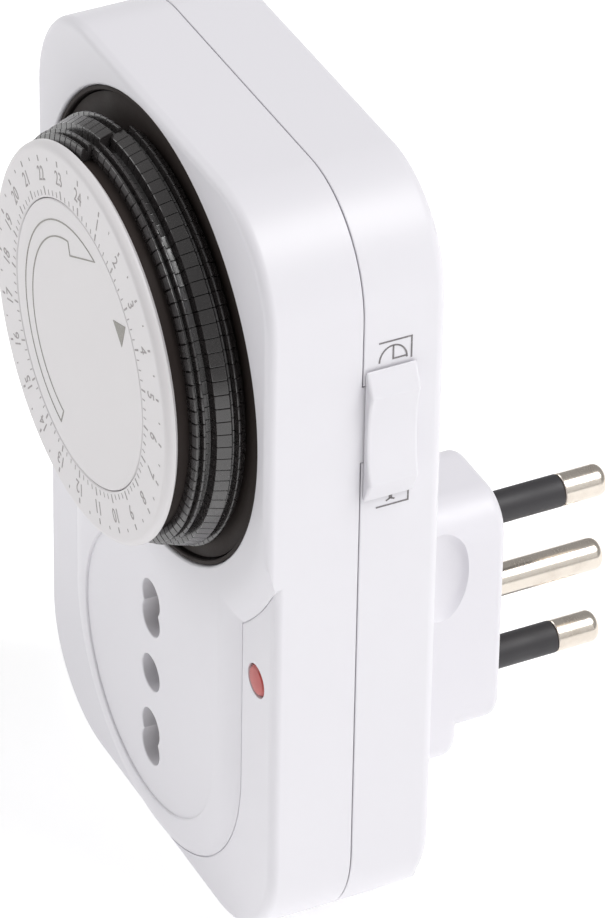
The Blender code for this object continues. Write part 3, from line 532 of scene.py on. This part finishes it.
# %% Front cover body
ROLL_WIDTH = 5.0
ROLL_RINGS = 14
SEAM_RELIEF = 0.08
OVERLAP = 0.6
roll_r = (ROLL_WIDTH ** 2 + STEP_DEPTH ** 2) / (2 * STEP_DEPTH)
cover = skin(
    "cover_front",
    [
        [(x, y, z) for x, z in body_outline(inset)]
        for y, inset in quarter(MARGIN_Y, SEAM_Y - 0.1, EDGE_R) + [(SEAM_Y, SEAM_RELIEF)]
    ],
)
levels = [STEP_DEPTH * (i / ROLL_RINGS) ** 2 for i in range(ROLL_RINGS + 1)]
rings = []
for depth in levels:
    edge_inset = EDGE_R - math.sqrt(max(EDGE_R ** 2 - (EDGE_R - min(depth, EDGE_R)) ** 2, 0.0))
    roll_inset = ROLL_WIDTH - math.sqrt(roll_r ** 2 - (roll_r - depth) ** 2)
    rings.append([(x, FRONT_Y + depth, z) for x, z in raised_outline(edge_inset, max(roll_inset, 0.0))])
rings.append([(x, CAVITY_FRONT_Y + 0.8, z) for x, z in raised_outline(0.0, 0.0)])
MOAT = 0.22
cut(cover, prism("moat", raised_outline(0.0, -MOAT), MARGIN_Y - 3, MARGIN_Y + MOAT))
joined(cover, skin("field", rings))
cut(cover, prism("cavity", body_outline(WALL), CAVITY_FRONT_Y, SEAM_Y + 5))
collar_r = WELL_R + 1.5
collar = [(collar_r, CAVITY_FRONT_Y - OVERLAP), (collar_r, COLLAR_END_Y)]
joined(cover, turned("collar", collar, DIAL_AXIS, 128))
print("front cover:", len(cover.data.vertices), "points before its openings")


# %% Front cover openings
def opening(radius, lip, place, start_y, end_y, count=64):
    """A round cutter that flares by lip where it meets the surface at start_y, which rounds the rim."""
    profile = [(radius + lip, start_y - 3.0)]
    for y, inset in quarter(start_y, start_y + lip + 0.01, lip, 4)[:-1]:
        profile.append((radius + inset, y))
    return turned("opening", profile + [(radius, end_y)], place, count)


cut(cover, opening(WELL_R, 0.45, DIAL_AXIS, FRONT_Y, SEAM_Y, 192))
cut(cover, opening(RECESS_R, 0.3, (0, SOCKET_Z), FRONT_Y, FRONT_Y + RECESS_DEPTH, 144))
recess_y = FRONT_Y + RECESS_DEPTH
for pitch in (-PITCH, -SMALL_PITCH, 0.0, SMALL_PITCH, PITCH):
    cut(cover, opening(HOLE_R, 0.22, (0, SOCKET_Z + pitch), recess_y, CAVITY_FRONT_Y + 3, 48))
lens_low, lens_high = box_mm("indicator_lens")
LENS_PLACE = ((lens_low[0] + lens_high[0]) / 2, (lens_low[2] + lens_high[2]) / 2)
LENS_R = 2.5
POST_R, PILOT_R = 3.0, 1.3
cut(cover, opening(LENS_R - 0.02, 0.12, LENS_PLACE, MARGIN_Y, CAVITY_FRONT_Y + 3, 48))
for place in SCREW_PLACES:
    post = [(POST_R, CAVITY_FRONT_Y - OVERLAP), (POST_R, SEAM_Y - 0.3)]
    joined(cover, turned("post", post, place, 32))
    pilot = [(PILOT_R, CAVITY_FRONT_Y + 1), (PILOT_R, SEAM_Y + 1)]
    cut(cover, turned("pilot", pilot, place, 24))
TONGUE_LOW_Z, TONGUE_HIGH_Z, TONGUE_END_Y = 82.9, 94.8, SEAM_Y + 0.5
TONGUE_X = HALF_WIDTH - 1.2
tongue_low = (TONGUE_X, SEAM_Y - 1, TONGUE_LOW_Z)
joined(cover, block("tongue", tongue_low, (HALF_WIDTH, TONGUE_END_Y, TONGUE_HIGH_Z)))
make_piece(cover, "housing", white_shell, ["front_cover"])
print("front cover:", len(cover.data.polygons), "faces")

# %% [markdown]
# ## The rear cover and its plug
#
# The rear cover is the other half of the shell. Behind it stands a narrow stage and on that the plug body,
# with a shallow scoop on each side for finger and thumb. Its edge at the seam is relieved a little, so the
# two halves meet in a fine dark line. A notch takes the front cover's tongue, and the slider's slot is cut
# through the same side.


# %% Rear cover body
BOSS_HALF, BOSS_R = 9.4, 6.0
STAGE_END_Y = 36.5
STAGE_LOW_Z = 2.4
BOSS_EDGE_R = 1.3
SEAM_LAP = 0.12


def boss_outline(inset, low):
    top = PLUG_Z + PITCH + 8.0 - inset
    low += inset
    half, r = BOSS_HALF - inset, BOSS_R - inset
    points = arc((half - r, low + r), r, -90, 0, 20) + arc((half - r, top - r), r, 0, 90, 20)
    return points + arc((r - half, top - r), r, 90, 180, 20) + arc((r - half, low + r), r, 180, 270, 20)


rear_steps = [(REAR_START_Y - SEAM_LAP, SEAM_RELIEF), (REAR_START_Y, 0.0)]
rear_steps += list(reversed(quarter(BACK_Y, REAR_START_Y + 1.0, BACK_EDGE_R)))
rear = skin("cover_rear", [[(x, y, z) for x, z in body_outline(inset)] for y, inset in rear_steps])
stage = [(y, inset) for y, inset in reversed(quarter(STAGE_END_Y, BACK_Y - 0.7, BACK_EDGE_R))]
joined(rear, skin("stage", [[(x, y, z) for x, z in boss_outline(i, STAGE_LOW_Z)] for y, i in stage]))
boss = [(y, inset) for y, inset in reversed(quarter(PLUG_FACE_Y, BACK_Y + 1, BOSS_EDGE_R))]
boss_low = PLUG_Z - PITCH - 6.0
joined(rear, skin("boss", [[(x, y, z) for x, z in boss_outline(i, boss_low)] for y, i in boss]))
cut(rear, prism("cavity", body_outline(WALL), REAR_START_Y - 5, BACK_Y - WALL))
cut(rear, prism("boss_cavity", boss_outline(WALL, boss_low), BACK_Y - WALL - 1, PLUG_FACE_Y - WALL))
print("rear cover:", len(rear.data.vertices), "points before its openings")

# %% Rear cover openings
GRIP_PLACE = (STAGE_END_Y - 3.6, PLUG_Z + 11.2)
GRIP_HALF_LENGTH, GRIP_HALF_HEIGHT = 4.2, 7.8
DISH_R = 5.6
DISH = [(0.4, -1.5), (2.4, -1.42), (4.0, -1.15), (5.0, -0.7), (DISH_R, 0)]
DISH += [(5.0, 0.7), (4.0, 1.15), (0.4, 1.5)]
for side in (-1, 1):
    grip = turned("grip", DISH, (0.0, 0.0), 48)
    spot = Vector((side * BOSS_HALF, *GRIP_PLACE)) * MM
    stretch = Matrix.Diagonal((1.0, GRIP_HALF_LENGTH / DISH_R, GRIP_HALF_HEIGHT / DISH_R, 1.0))
    grip.matrix_world = Matrix.Translation(spot) @ stretch @ Matrix.Rotation(math.pi / 2, 4, "Z")
    cut(rear, grip)
PIN_HOLE_R = 2.55
for offset in (-PITCH, 0.0, PITCH):
    hole = [(PIN_HOLE_R, PLUG_FACE_Y - 4), (PIN_HOLE_R, PLUG_FACE_Y + 2)]
    cut(rear, turned("pin_hole", hole, (0, PLUG_Z + offset), 48))
REAR_POST_R, SHANK_R, HEAD_R, HEAD_Y = 3.8, 1.5, 2.9, 13.0
head = [(HEAD_R, HEAD_Y), (HEAD_R, BACK_Y - 0.3), (HEAD_R + 0.3, BACK_Y + 0.01), (HEAD_R + 0.3, BACK_Y + 1)]
for place in SCREW_PLACES:
    joined(rear, turned("post", [(REAR_POST_R, REAR_START_Y), (REAR_POST_R, BACK_Y - 0.5)], place, 32))
    cut(rear, turned("shank", [(SHANK_R, REAR_START_Y - 1), (SHANK_R, BACK_Y + 1)], place, 24))
    cut(rear, turned("head", head, place, 32))
slider_low, slider_high = box_mm("override_slider")
SLIDER_Z = (slider_low[2] + slider_high[2]) / 2
SLIDER_Y = (slider_low[1] + slider_high[1]) / 2
SLOT_HALF_Y, SLOT_DOWN, SLOT_UP = 1.6, 8.3, 4.3
slot_low = (HALF_WIDTH - 4, SLIDER_Y - SLOT_HALF_Y, SLIDER_Z - SLOT_DOWN)
slot_high = (HALF_WIDTH + 2, SLIDER_Y + SLOT_HALF_Y, SLIDER_Z + SLOT_UP)
cut(rear, block("slot", slot_low, slot_high))
seam_gap = REAR_START_Y - SEAM_LAP - SEAM_Y
notch_low = (TONGUE_X - seam_gap, SEAM_Y - 1, TONGUE_LOW_Z - seam_gap)
notch_high = (HALF_WIDTH + 1, TONGUE_END_Y + seam_gap, TONGUE_HIGH_Z + seam_gap)
cut(rear, block("notch", notch_low, notch_high))
make_piece(rear, "housing", white_shell, ["rear_cover"])
print("rear cover:", len(rear.data.polygons), "faces")

# %% [markdown]
# ## The dial
#
# The dial is a thin white ring with a rounded rim. It turns once a day around a fixed centre plate. The
# print on a real dial is a layer of ink; here it is a set of very thin solids that stand a few hundredths
# of a millimetre proud of the ring, so that the ring itself is set back by the same amount.

# %% Disc and centre plate
INK = 0.03
FACE_Y = DISC_FRONT_Y + INK
SCALE_INNER_R = 20.2
PLATE_RADIUS = SCALE_INNER_R - 0.12
RIM_R = 1.2
profile = [(DISC_R - inset, y) for y, inset in quarter(FACE_Y, FACE_Y + RIM_R + 0.05, RIM_R, 10)]
disc = turned("dial_ring", profile + [(DISC_R - 0.9, DISC_BACK_Y)], DIAL_AXIS, 160)
bore = [(SCALE_INNER_R + 0.15, FACE_Y - 1), (SCALE_INNER_R + 0.15, FACE_Y), (SCALE_INNER_R, FACE_Y + 0.15)]
cut(disc, turned("bore", bore + [(SCALE_INNER_R, DISC_BACK_Y + 1)], DIAL_AXIS, 160))
make_piece(disc, "dial", white_dial, ["dial_disc"])

plate = [(PLATE_RADIUS - 0.15, FACE_Y + 0.02), (PLATE_RADIUS, FACE_Y + 0.17), (PLATE_RADIUS, FACE_Y + 1.4)]
centre = turned("dial_centre", plate, DIAL_AXIS, 160)
make_piece(centre, "housing", white_dial, ["centre_plate"])
print("dial ring radius", round(DISC_R, 2), "face at", round(FACE_Y, 2))

# %% [markdown]
# ## The printed scale
#
# A day has 96 quarters, so there are 96 short marks beside the centre plate, a longer mark at each hour,
# and a mark at the rim for every half hour. The numbers come from text objects turned into mesh, because
# text is drawn in its own plane and has to be stood up, spun to its hour and moved out to its radius.


# %% Marks and numbers
def polar(radius, clockwise):
    t = math.radians(clockwise)
    return radius * math.sin(t), DIAL_Z + radius * math.cos(t)


def add_slab(built, corners, low_y, high_y):
    """Adds a thin closed slab over a flat outline to a mesh that is being built."""
    front = [built.verts.new((x, low_y, z)) for x, z in corners]
    rear = [built.verts.new((x, high_y, z)) for x, z in corners]
    for i in range(len(corners)):
        j = (i + 1) % len(corners)
        built.faces.new((front[i], front[j], rear[j], rear[i]))
    built.faces.new(front)
    built.faces.new(list(reversed(rear)))


def mark(built, clockwise, inner, outer, width):
    half = math.degrees(width / 2 / outer)
    corners = [polar(inner, clockwise - half), polar(outer, clockwise - half)]
    corners += [polar(outer, clockwise + half), polar(inner, clockwise + half)]
    add_slab(built, corners, DISC_FRONT_Y, FACE_Y + INK)


built = bmesh.new()
for quarter_hour in range(96):
    angle = quarter_hour * 3.75
    on_hour = quarter_hour % 4 == 0
    mark(built, angle, 20.55, 21.75 if on_hour else 21.3, 0.26 if on_hour else 0.15)
    if on_hour:
        mark(built, angle, 25.15, 25.95, 0.30)
    elif quarter_hour % 2 == 0:
        mark(built, angle, 25.35, 25.80, 0.20)
marks = from_bmesh("scale_marks", built)
make_piece(marks, "dial", scale_ink)


DIGIT_SHARE = 0.69


def number_mesh(text, height):
    """The outline of a number as a mesh in its own XY plane, centred on the origin."""
    curve = bpy.data.curves.new("number", "FONT")
    curve.body = text
    curve.size = height / DIGIT_SHARE
    curve.align_x = "CENTER"
    curve.align_y = "CENTER"
    curve.extrude = INK
    curve.resolution_u = 3
    holder = bpy.data.objects.new("number", curve)
    bpy.context.scene.collection.objects.link(holder)
    bpy.context.view_layer.update()
    mesh = bpy.data.meshes.new_from_object(holder.evaluated_get(bpy.context.evaluated_depsgraph_get()))
    bpy.data.objects.remove(holder, do_unlink=True)
    return mesh


STAND_UP = Matrix.Rotation(math.pi / 2, 4, "X")
NUMBER_HEIGHT, NUMBER_NARROWING, NUMBER_R = 2.0, 0.80, 23.4
built = bmesh.new()
for hour in range(1, 25):
    mesh = number_mesh(str(hour), NUMBER_HEIGHT)
    mesh.transform(Matrix.Scale(NUMBER_NARROWING, 4, (1, 0, 0)))
    mesh.transform(STAND_UP)
    spin = Matrix.Rotation(math.radians(hour * 15), 4, "Y")
    outwards = Matrix.Translation((0, 0, NUMBER_R))
    mesh.transform(Matrix.Translation((0, FACE_Y, DIAL_Z)) @ spin @ outwards)
    built.from_mesh(mesh)
    bpy.data.meshes.remove(mesh)
numbers = from_bmesh("scale_numbers", built)
make_piece(numbers, "dial", scale_ink)
print("marks", len(marks.data.polygons), "faces; numbers", len(numbers.data.polygons), "faces")

# %% [markdown]
# ## The arrow and the pointer
#
# The centre plate shows which way the dial turns with a long outlined arrow, and a solid pointer marks the
# time. An outline is a ribbon of constant width along a path, so one helper offsets each point of the path
# to both sides.


# %% Arrow and pointer
def ribbon(built, path, width, low_y, high_y, closed=False):
    """A flat line of constant width through (x, z) points."""
    count = len(path)
    left, right_side = [], []
    for i in range(count):
        before = Vector(path[i - 1] if i or closed else path[0])
        after = Vector(path[(i + 1) % count] if i < count - 1 or closed else path[-1])
        here = Vector(path[i])
        first = (here - before).normalized() if (here - before).length > 1e-6 else (after - here).normalized()
        second = (after - here).normalized() if (after - here).length > 1e-6 else first
        middle = (first + second).normalized()
        stretch = min(1 / max(middle.dot(first), 0.35), 2.2)
        side = Vector((-middle.y, middle.x)) * width / 2 * stretch
        left.append(tuple(here + side))
        right_side.append(tuple(here - side))
    spans = range(count) if closed else range(count - 1)
    grid = [
        [built.verts.new((x, y, z)) for x, z in points]
        for y in (low_y, high_y)
        for points in (left, right_side)
    ]
    front_left, front_right, rear_left, rear_right = grid
    for i in spans:
        j = (i + 1) % count
        built.faces.new((front_left[i], front_left[j], front_right[j], front_right[i]))
        built.faces.new((rear_left[i], rear_right[i], rear_right[j], rear_left[j]))
        built.faces.new((front_left[i], rear_left[i], rear_left[j], front_left[j]))
        built.faces.new((front_right[i], front_right[j], rear_right[j], rear_right[i]))
    if not closed:
        for i in (0, count - 1):
            built.faces.new((front_left[i], front_right[i], rear_right[i], rear_left[i]))


def polar_arc(radius, start, end, count):
    return [polar(radius, start + (end - start) * i / count) for i in range(count + 1)]


ARROW_OUTER, ARROW_INNER, BARB_R = 17.2, 14.9, 12.95
ARROW_LINE = 0.20
TAIL, NECK, TIP = -160.0, -12.5, 17.6
arrow = polar_arc(ARROW_OUTER, TAIL, TIP, 96)
arrow += [polar(BARB_R, NECK + 1.0)]
arrow += polar_arc(ARROW_INNER, NECK, TAIL, 80)
built = bmesh.new()
ribbon(built, arrow, ARROW_LINE, DISC_FRONT_Y, FACE_Y + INK, closed=True)
arrow_line = from_bmesh("arrow_outline", built)
make_piece(arrow_line, "housing", arrow_ink)

built = bmesh.new()
add_slab(built, [polar(15.45, 45.5), polar(19.1, 51.0), polar(16.0, 59.2)], DISC_FRONT_Y, FACE_Y + INK)
pointer = from_bmesh("time_pointer", built)
make_piece(pointer, "housing", arrow_ink)
print("arrow from", TAIL, "to", TIP, "degrees")

# %% [markdown]
# ## The push tabs
#
# Ninety-six tabs stand in a ring around the dial, four to each hour. A tab pulled towards the dial leaves
# the socket on for its quarter of an hour. In the frame each hour is one sliding body, so each piece here
# holds the four tabs of its hour. A tab is one outline swept through a small angle: two thin ribs beside
# the dial for a fingernail, a broad ridge, one more rib, and a narrow tail that slides along the drum.

# %% Tab outline
BANK_INNER_R = 26.5
BANK_BACK = 9.8
TAIL_R = 27.2
TAB_OUTLINE = [
    (BANK_INNER_R, 0.0),
    (27.5, 0.0),
    (28.35, 0.3),
    (28.35, 0.6),
    (27.7, 0.75),
    (27.7, 1.0),
    (28.75, 1.15),
    (28.75, 1.5),
    (27.7, 1.7),
    (27.7, 2.6),
    (29.2, 2.85),
    (29.8, 4.7),
    (29.0, 4.95),
    (29.0, 5.4),
    (30.1, 5.6),
    (30.1, 6.05),
    (29.3, 6.2),
    (29.2, 7.0),
    (TAIL_R, 7.1),
    (TAIL_R, BANK_BACK),
    (BANK_INNER_R, BANK_BACK),
]
tab_profile = soften(TAB_OUTLINE, 0.11, 2)
print("tab outline:", len(tab_profile), "points")


# %% Push tabs
def tab_rings(middle, half_angle, shift_y, lift_edge):
    """Four cross-sections of one tab; the outer two are drawn in, which rounds its sides."""
    centre_r = sum(r for r, _ in tab_profile) / len(tab_profile)
    centre_y = sum(y for _, y in tab_profile) / len(tab_profile)
    out = []
    for share, shrink in ((-1.0, lift_edge), (-0.9, 0.0), (0.9, 0.0), (1.0, lift_edge)):
        angle = middle + share * half_angle
        ring = []
        for r, y in tab_profile:
            r2 = r + (centre_r - r) * shrink
            y2 = y + (centre_y - y) * shrink
            x, z = polar(r2, angle)
            ring.append((x, y2 + shift_y, z))
        out.append(ring)
    return out


TAB_PITCH = 3.75
TAB_HALF_ANGLE = 1.76
for hour in range(24):
    name = f"tripper_hour_{hour + 1:02d}"
    front = box_mm(name)[0][1]
    built = bmesh.new()
    for tab in range(4):
        middle = hour * 15 + (tab - 1.5) * TAB_PITCH
        rings = tab_rings(middle, TAB_HALF_ANGLE, front, 0.03)
        loops = [[built.verts.new(p) for p in ring] for ring in rings]
        for near, far in zip(loops, loops[1:]):
            for i in range(len(near)):
                j = (i + 1) % len(near)
                built.faces.new((near[i], near[j], far[j], far[i]))
        built.faces.new(loops[0])
        built.faces.new(list(reversed(loops[-1])))
    tabs = from_bmesh(f"push_tabs_{hour + 1:02d}", built)
    make_piece(tabs, name, black_plastic, [name], sharp=40)
print("24 groups of four tabs, each", len(tabs.data.polygons), "faces")

# %% [markdown]
# ## The dial's skirt
#
# Behind the ribs the real dial ends in a smooth dark skirt that almost fills the well and keeps dust out.
# The tails of the tabs slide between it and the drum. Both are turned rings on the dial, so they go round
# with it.


# %% Skirt and drum skin
def ring_piece(name, outline, body, finish, count=160):
    """Turns a closed (radius, y) outline that stays clear of the axis."""
    built = bmesh.new()
    loops = [[built.verts.new((x, y, z)) for x, z in circle(r, DIAL_AXIS, count)] for r, y in outline]
    for near, far in zip(loops, loops[1:] + loops[:1]):
        for i in range(count):
            j = (i + 1) % count
            built.faces.new((near[i], near[j], far[j], far[i]))
    return make_piece(from_bmesh(name, built), body, finish)


SKIRT_FRONT_Y, SKIRT_BACK_Y = -7.25, -5.0
SKIRT_INNER, SKIRT_OUTER = TAIL_R + 0.2, 32.1
skirt = [(SKIRT_INNER, SKIRT_FRONT_Y), (29.3, SKIRT_FRONT_Y), (SKIRT_OUTER, SKIRT_FRONT_Y + 0.25)]
skirt += [(SKIRT_OUTER, SKIRT_BACK_Y), (SKIRT_INNER, SKIRT_BACK_Y)]
ring_piece("dial_skirt", skirt, "dial", well_black)
skin_front, skin_back = DISC_BACK_Y + 0.1, -4.9
SKIN_INNER, SKIN_OUTER = 26.26, 26.42
drum = [(SKIN_INNER, skin_front), (SKIN_OUTER, skin_front), (SKIN_OUTER, skin_back), (SKIN_INNER, skin_back)]
ring_piece("drum_skin", drum, "dial", well_black)
print("skirt from", SKIRT_FRONT_Y, "to", SKIRT_BACK_Y)

# %% [markdown]
# ## The black lining of the well
#
# The tabs run inside a round well. Its wall is lined with a black ring, which is what shows as a dark gap
# around them. It is a thin turned ring with a small rounded lip, held in the front cover.

# %% Well lining
LINER_OUTER = WELL_R - 0.06
LINER_INNER = WELL_R - 0.75
liner_front = FRONT_Y + 0.35
liner_back = PLATE_FRONT_Y - 0.1
rings = [(LINER_INNER, liner_back), (LINER_INNER, liner_front + 0.2), (LINER_INNER + 0.15, liner_front)]
rings += [(LINER_OUTER - 0.05, liner_front), (LINER_OUTER, liner_front + 0.1), (LINER_OUTER, liner_back)]
liner = ring_piece("well_lining", rings, "housing", well_black)
print("well lining:", len(liner.data.polygons), "faces")

# %% [markdown]
# ## The slider
#
# The override slider is pushed by a thumb, so its face is scooped along its length and its ends slope down
# to the housing. The long edges carry a small radius. It is one outline in the XZ plane with thickness
# along Y, drawn in slightly at both sides.

# %% Override slider
outside = HALF_WIDTH + 0.3
proud = slider_high[0] - outside
half_length = (slider_high[2] - slider_low[2]) / 2
END_SLOPE = 3.3
END_LIP = 0.2
SCOOP_DEPTH = 0.95
outline = [(outside, -half_length), (outside + END_LIP, -half_length)]
for i in range(25):
    share = -1 + i / 12
    scoop = SCOOP_DEPTH * (1 - share * share) ** 0.85
    outline.append((outside + proud - scoop, share * (half_length - END_SLOPE)))
outline += [(outside + END_LIP, half_length), (outside, half_length)]
outline = soften(outline, 0.3, 3)
half_y = (slider_high[1] - slider_low[1]) / 2
SIDE_R = 0.45
rings = []
turns = [math.radians(18 * k) for k in range(6)]
steps = [(-half_y + SIDE_R * (1 - math.cos(t)), SIDE_R * (1 - math.sin(t))) for t in turns]
steps += [(-y, inset) for y, inset in reversed(steps)]
for y, inset in steps:
    ring = []
    for x, z in outline:
        drawn = z * (1 - inset / half_length * 0.6)
        ring.append((x - inset * (x - outside) / proud, SLIDER_Y + y, SLIDER_Z + drawn))
    rings.append(ring)
slider = skin("side_slider", rings)
inner_x, stem_half, foot_half = HALF_WIDTH - 3.6, 1.3, 2.4
stem_low_z, stem_high_z = SLIDER_Z - 4.0, SLIDER_Z + 4.0
stem_low = (inner_x, SLIDER_Y - stem_half, stem_low_z)
joined(slider, block("stem", stem_low, (outside + 0.4, SLIDER_Y + stem_half, stem_high_z)))
foot_low = (inner_x, SLIDER_Y - foot_half, stem_low_z)
joined(slider, block("foot", foot_low, (HALF_WIDTH - 2.3, SLIDER_Y + foot_half, stem_high_z)))
make_piece(slider, "override_slider", white_shell, ["override_slider"])
print("slider stands", round(proud, 2), "mm proud")

# %% [markdown]
# ## The signs beside the slider
#
# Two printed signs say what the slider's ends do: a clock for the timer, and a bar on a base for always on.
# Both are lines of constant width, so the ribbon helper draws them. They lie on the side wall, so the flat
# drawing is turned to face +X.


# %% Side signs
def side_sign(name, strokes, width):
    """Strokes are lists of (y, z) points on the side wall."""
    built = bmesh.new()
    for points in strokes:
        ribbon(built, points, width, -0.02, 0.05)
    for vertex in built.verts:
        flat_x, depth, flat_z = vertex.co
        vertex.co = (HALF_WIDTH + depth, flat_x, flat_z)
    sign = from_bmesh(name, built)
    return make_piece(sign, "housing", symbol_ink)


CLOCK_Y, CLOCK_Z = 10.0, 97.95
CLOCK_HALF_WIDTH, CLOCK_HEIGHT = 2.0, 2.35
SIGN_LINE = 0.22
turns = [math.radians(a) for a in range(0, 181, 6)]
face = [(CLOCK_Y - CLOCK_HALF_WIDTH * math.cos(t), CLOCK_Z + CLOCK_HEIGHT * math.sin(t)) for t in turns]
hand_z = CLOCK_Z + 0.25
clock = [
    [(7.9, 101.05), (12.65, 101.05), (12.65, 97.7)],
    face,
    [(CLOCK_Y, CLOCK_Z + CLOCK_HEIGHT), (CLOCK_Y, hand_z), (CLOCK_Y + 1.95, hand_z)],
]
side_sign("sign_clock", clock, SIGN_LINE)
bar = [
    [(8.05, 74.88), (12.75, 74.88), (12.75, 76.65)],
    [(9.5, 75.6), (10.15, 75.9), (10.75, 75.65)],
]
side_sign("sign_on", bar, SIGN_LINE)
side_sign("sign_on_stem", [[(10.15, 76.65), (10.15, 75.9)]], 0.5)
print("signs drawn")

# %% [markdown]
# ## The lamp lens
#
# The lens is a small, nearly flat button pressed in from behind. Its coloured plastic looks dark round the
# rim, where the wall of the hole shades it, and lighter in the middle, where its face is level.

# %% Lens
lens_y = lens_low[1]
dome = [(0.25, lens_y), (1.2, lens_y + 0.03), (1.9, lens_y + 0.12), (LENS_R - 0.4, lens_y + 0.3)]
dome += [(LENS_R - 0.2, lens_y + 0.6), (LENS_R - 0.2, lens_high[1] - 0.8)]
dome += [(LENS_R + 0.5, lens_high[1] - 0.75), (LENS_R + 0.5, lens_high[1])]
make_piece(turned("lamp_lens", dome, LENS_PLACE, 64), "housing", red_lens, ["indicator_lens"])
print("lens at", [round(v, 2) for v in LENS_PLACE])

# %% [markdown]
# ## The plug pins
#
# The three pins are nickel-plated brass with rounded tips. The two outer ones carry a black sleeve over
# their inner half, flush with the bare tip, so that no live metal shows while the plug is being pushed in.

# %% Pins and sleeves
PIN_R, CORE_R = 2.4, 1.9
tip_y = box_mm("line_pin")[1][1]
sleeve_end = tip_y - 6.9
root_y = PLUG_FACE_Y - 3.0
TIP_R = 1.3
round_tip = [(PIN_R - inset, y) for y, inset in reversed(quarter(tip_y, tip_y - TIP_R - 0.01, TIP_R, 8))]
for name in ("neutral", "earth", "line"):
    low, high = box_mm(f"{name}_pin")
    place = (0.0, (low[2] + high[2]) / 2)
    shaft = [(CORE_R, low[1]), (CORE_R, root_y - 0.3)]
    if name == "earth":
        shaft += [(PIN_R, root_y - 0.3)]
    else:
        shaft += [(CORE_R, sleeve_end), (PIN_R - 0.12, sleeve_end), (PIN_R, sleeve_end + 0.12)]
    pin = turned(f"pin_{name}", shaft + round_tip, place, 64)
    make_piece(pin, "housing", nickel, [f"{name}_pin"])
    if name == "earth":
        continue
    sleeve = turned(
        f"sleeve_{name}",
        [(PIN_R, root_y), (PIN_R, sleeve_end - 0.3), (PIN_R - 0.12, sleeve_end - 0.13)],
        place,
        64,
    )
    cut(sleeve, turned("bore", [(CORE_R + 0.12, root_y - 1), (CORE_R + 0.12, sleeve_end + 1)], place, 64))
    make_piece(sleeve, "housing", black_sleeve, [f"{name}_pin_sleeve"])
print("pins reach", round(tip_y, 2), "and sleeves end at", round(sleeve_end, 2))

# %% [markdown]
# ## Floor and light
#
# A plain white floor runs out past the view and glows a little, so it stays white beside the shadow. A
# pale sky fills every shadow, and three large soft lamps give the shape: a weak one on the right for the
# side wall, a strong one high behind that draws the highlights along the tabs, and one from the front left.

# %% Floor
floor_finish = Finish("floor")
cloud = floor_finish.noise(400.0, 2.0)
floor_finish.set(
    Base_Color=floor_finish.mix(cloud, (0.90, 0.90, 0.90, 1.0), (0.93, 0.93, 0.93, 1.0)),
    Roughness=0.9,
    Emission_Color=(1.0, 1.0, 1.0, 1.0),
    Emission_Strength=0.42,
)
built = bmesh.new()
FLOOR_Z, FLOOR_HALF = -0.4, 4000
ends = ((-1, -1), (1, -1), (1, 1), (-1, 1))
built.faces.new([built.verts.new((x * FLOOR_HALF, y * FLOOR_HALF, FLOOR_Z)) for x, y in ends])
floor = from_bmesh("floor", built)
floor.data.materials.append(floor_finish.material)
print("floor is", round(floor.dimensions.x, 2), "m across")


# %% Lamps
def soft_lamp(name, azimuth, elevation, distance, size, power):
    a, e = math.radians(azimuth), math.radians(elevation)
    way = Vector((math.sin(a) * math.cos(e), -math.cos(a) * math.cos(e), math.sin(e)))
    light = bpy.data.lights.new(name, "AREA")
    light.shape = "SQUARE"
    light.size = size
    light.energy = power
    lamp = bpy.data.objects.new(name, light)
    lamp.location = Vector((0, 0.02, 0.06)) + way * distance
    lamp.rotation_mode = "QUATERNION"
    lamp.rotation_quaternion = (-way).to_track_quat("-Z", "Y")
    bpy.context.scene.collection.objects.link(lamp)
    return lamp


soft_lamp("lamp_side", 105, 25, 1.3, 0.9, 1.2)
soft_lamp("lamp_over", 134, 56, 1.2, 0.6, 10.0)
soft_lamp("lamp_front", -48, 30, 1.5, 1.0, 7.0)
world = bpy.data.worlds.new("sky")
world.use_nodes = True
world.node_tree.nodes["Background"].inputs["Color"].default_value = (1.0, 1.0, 1.0, 1.0)
world.node_tree.nodes["Background"].inputs["Strength"].default_value = 0.40
bpy.context.scene.world = world
bpy.context.scene.view_settings.view_transform = "Standard"
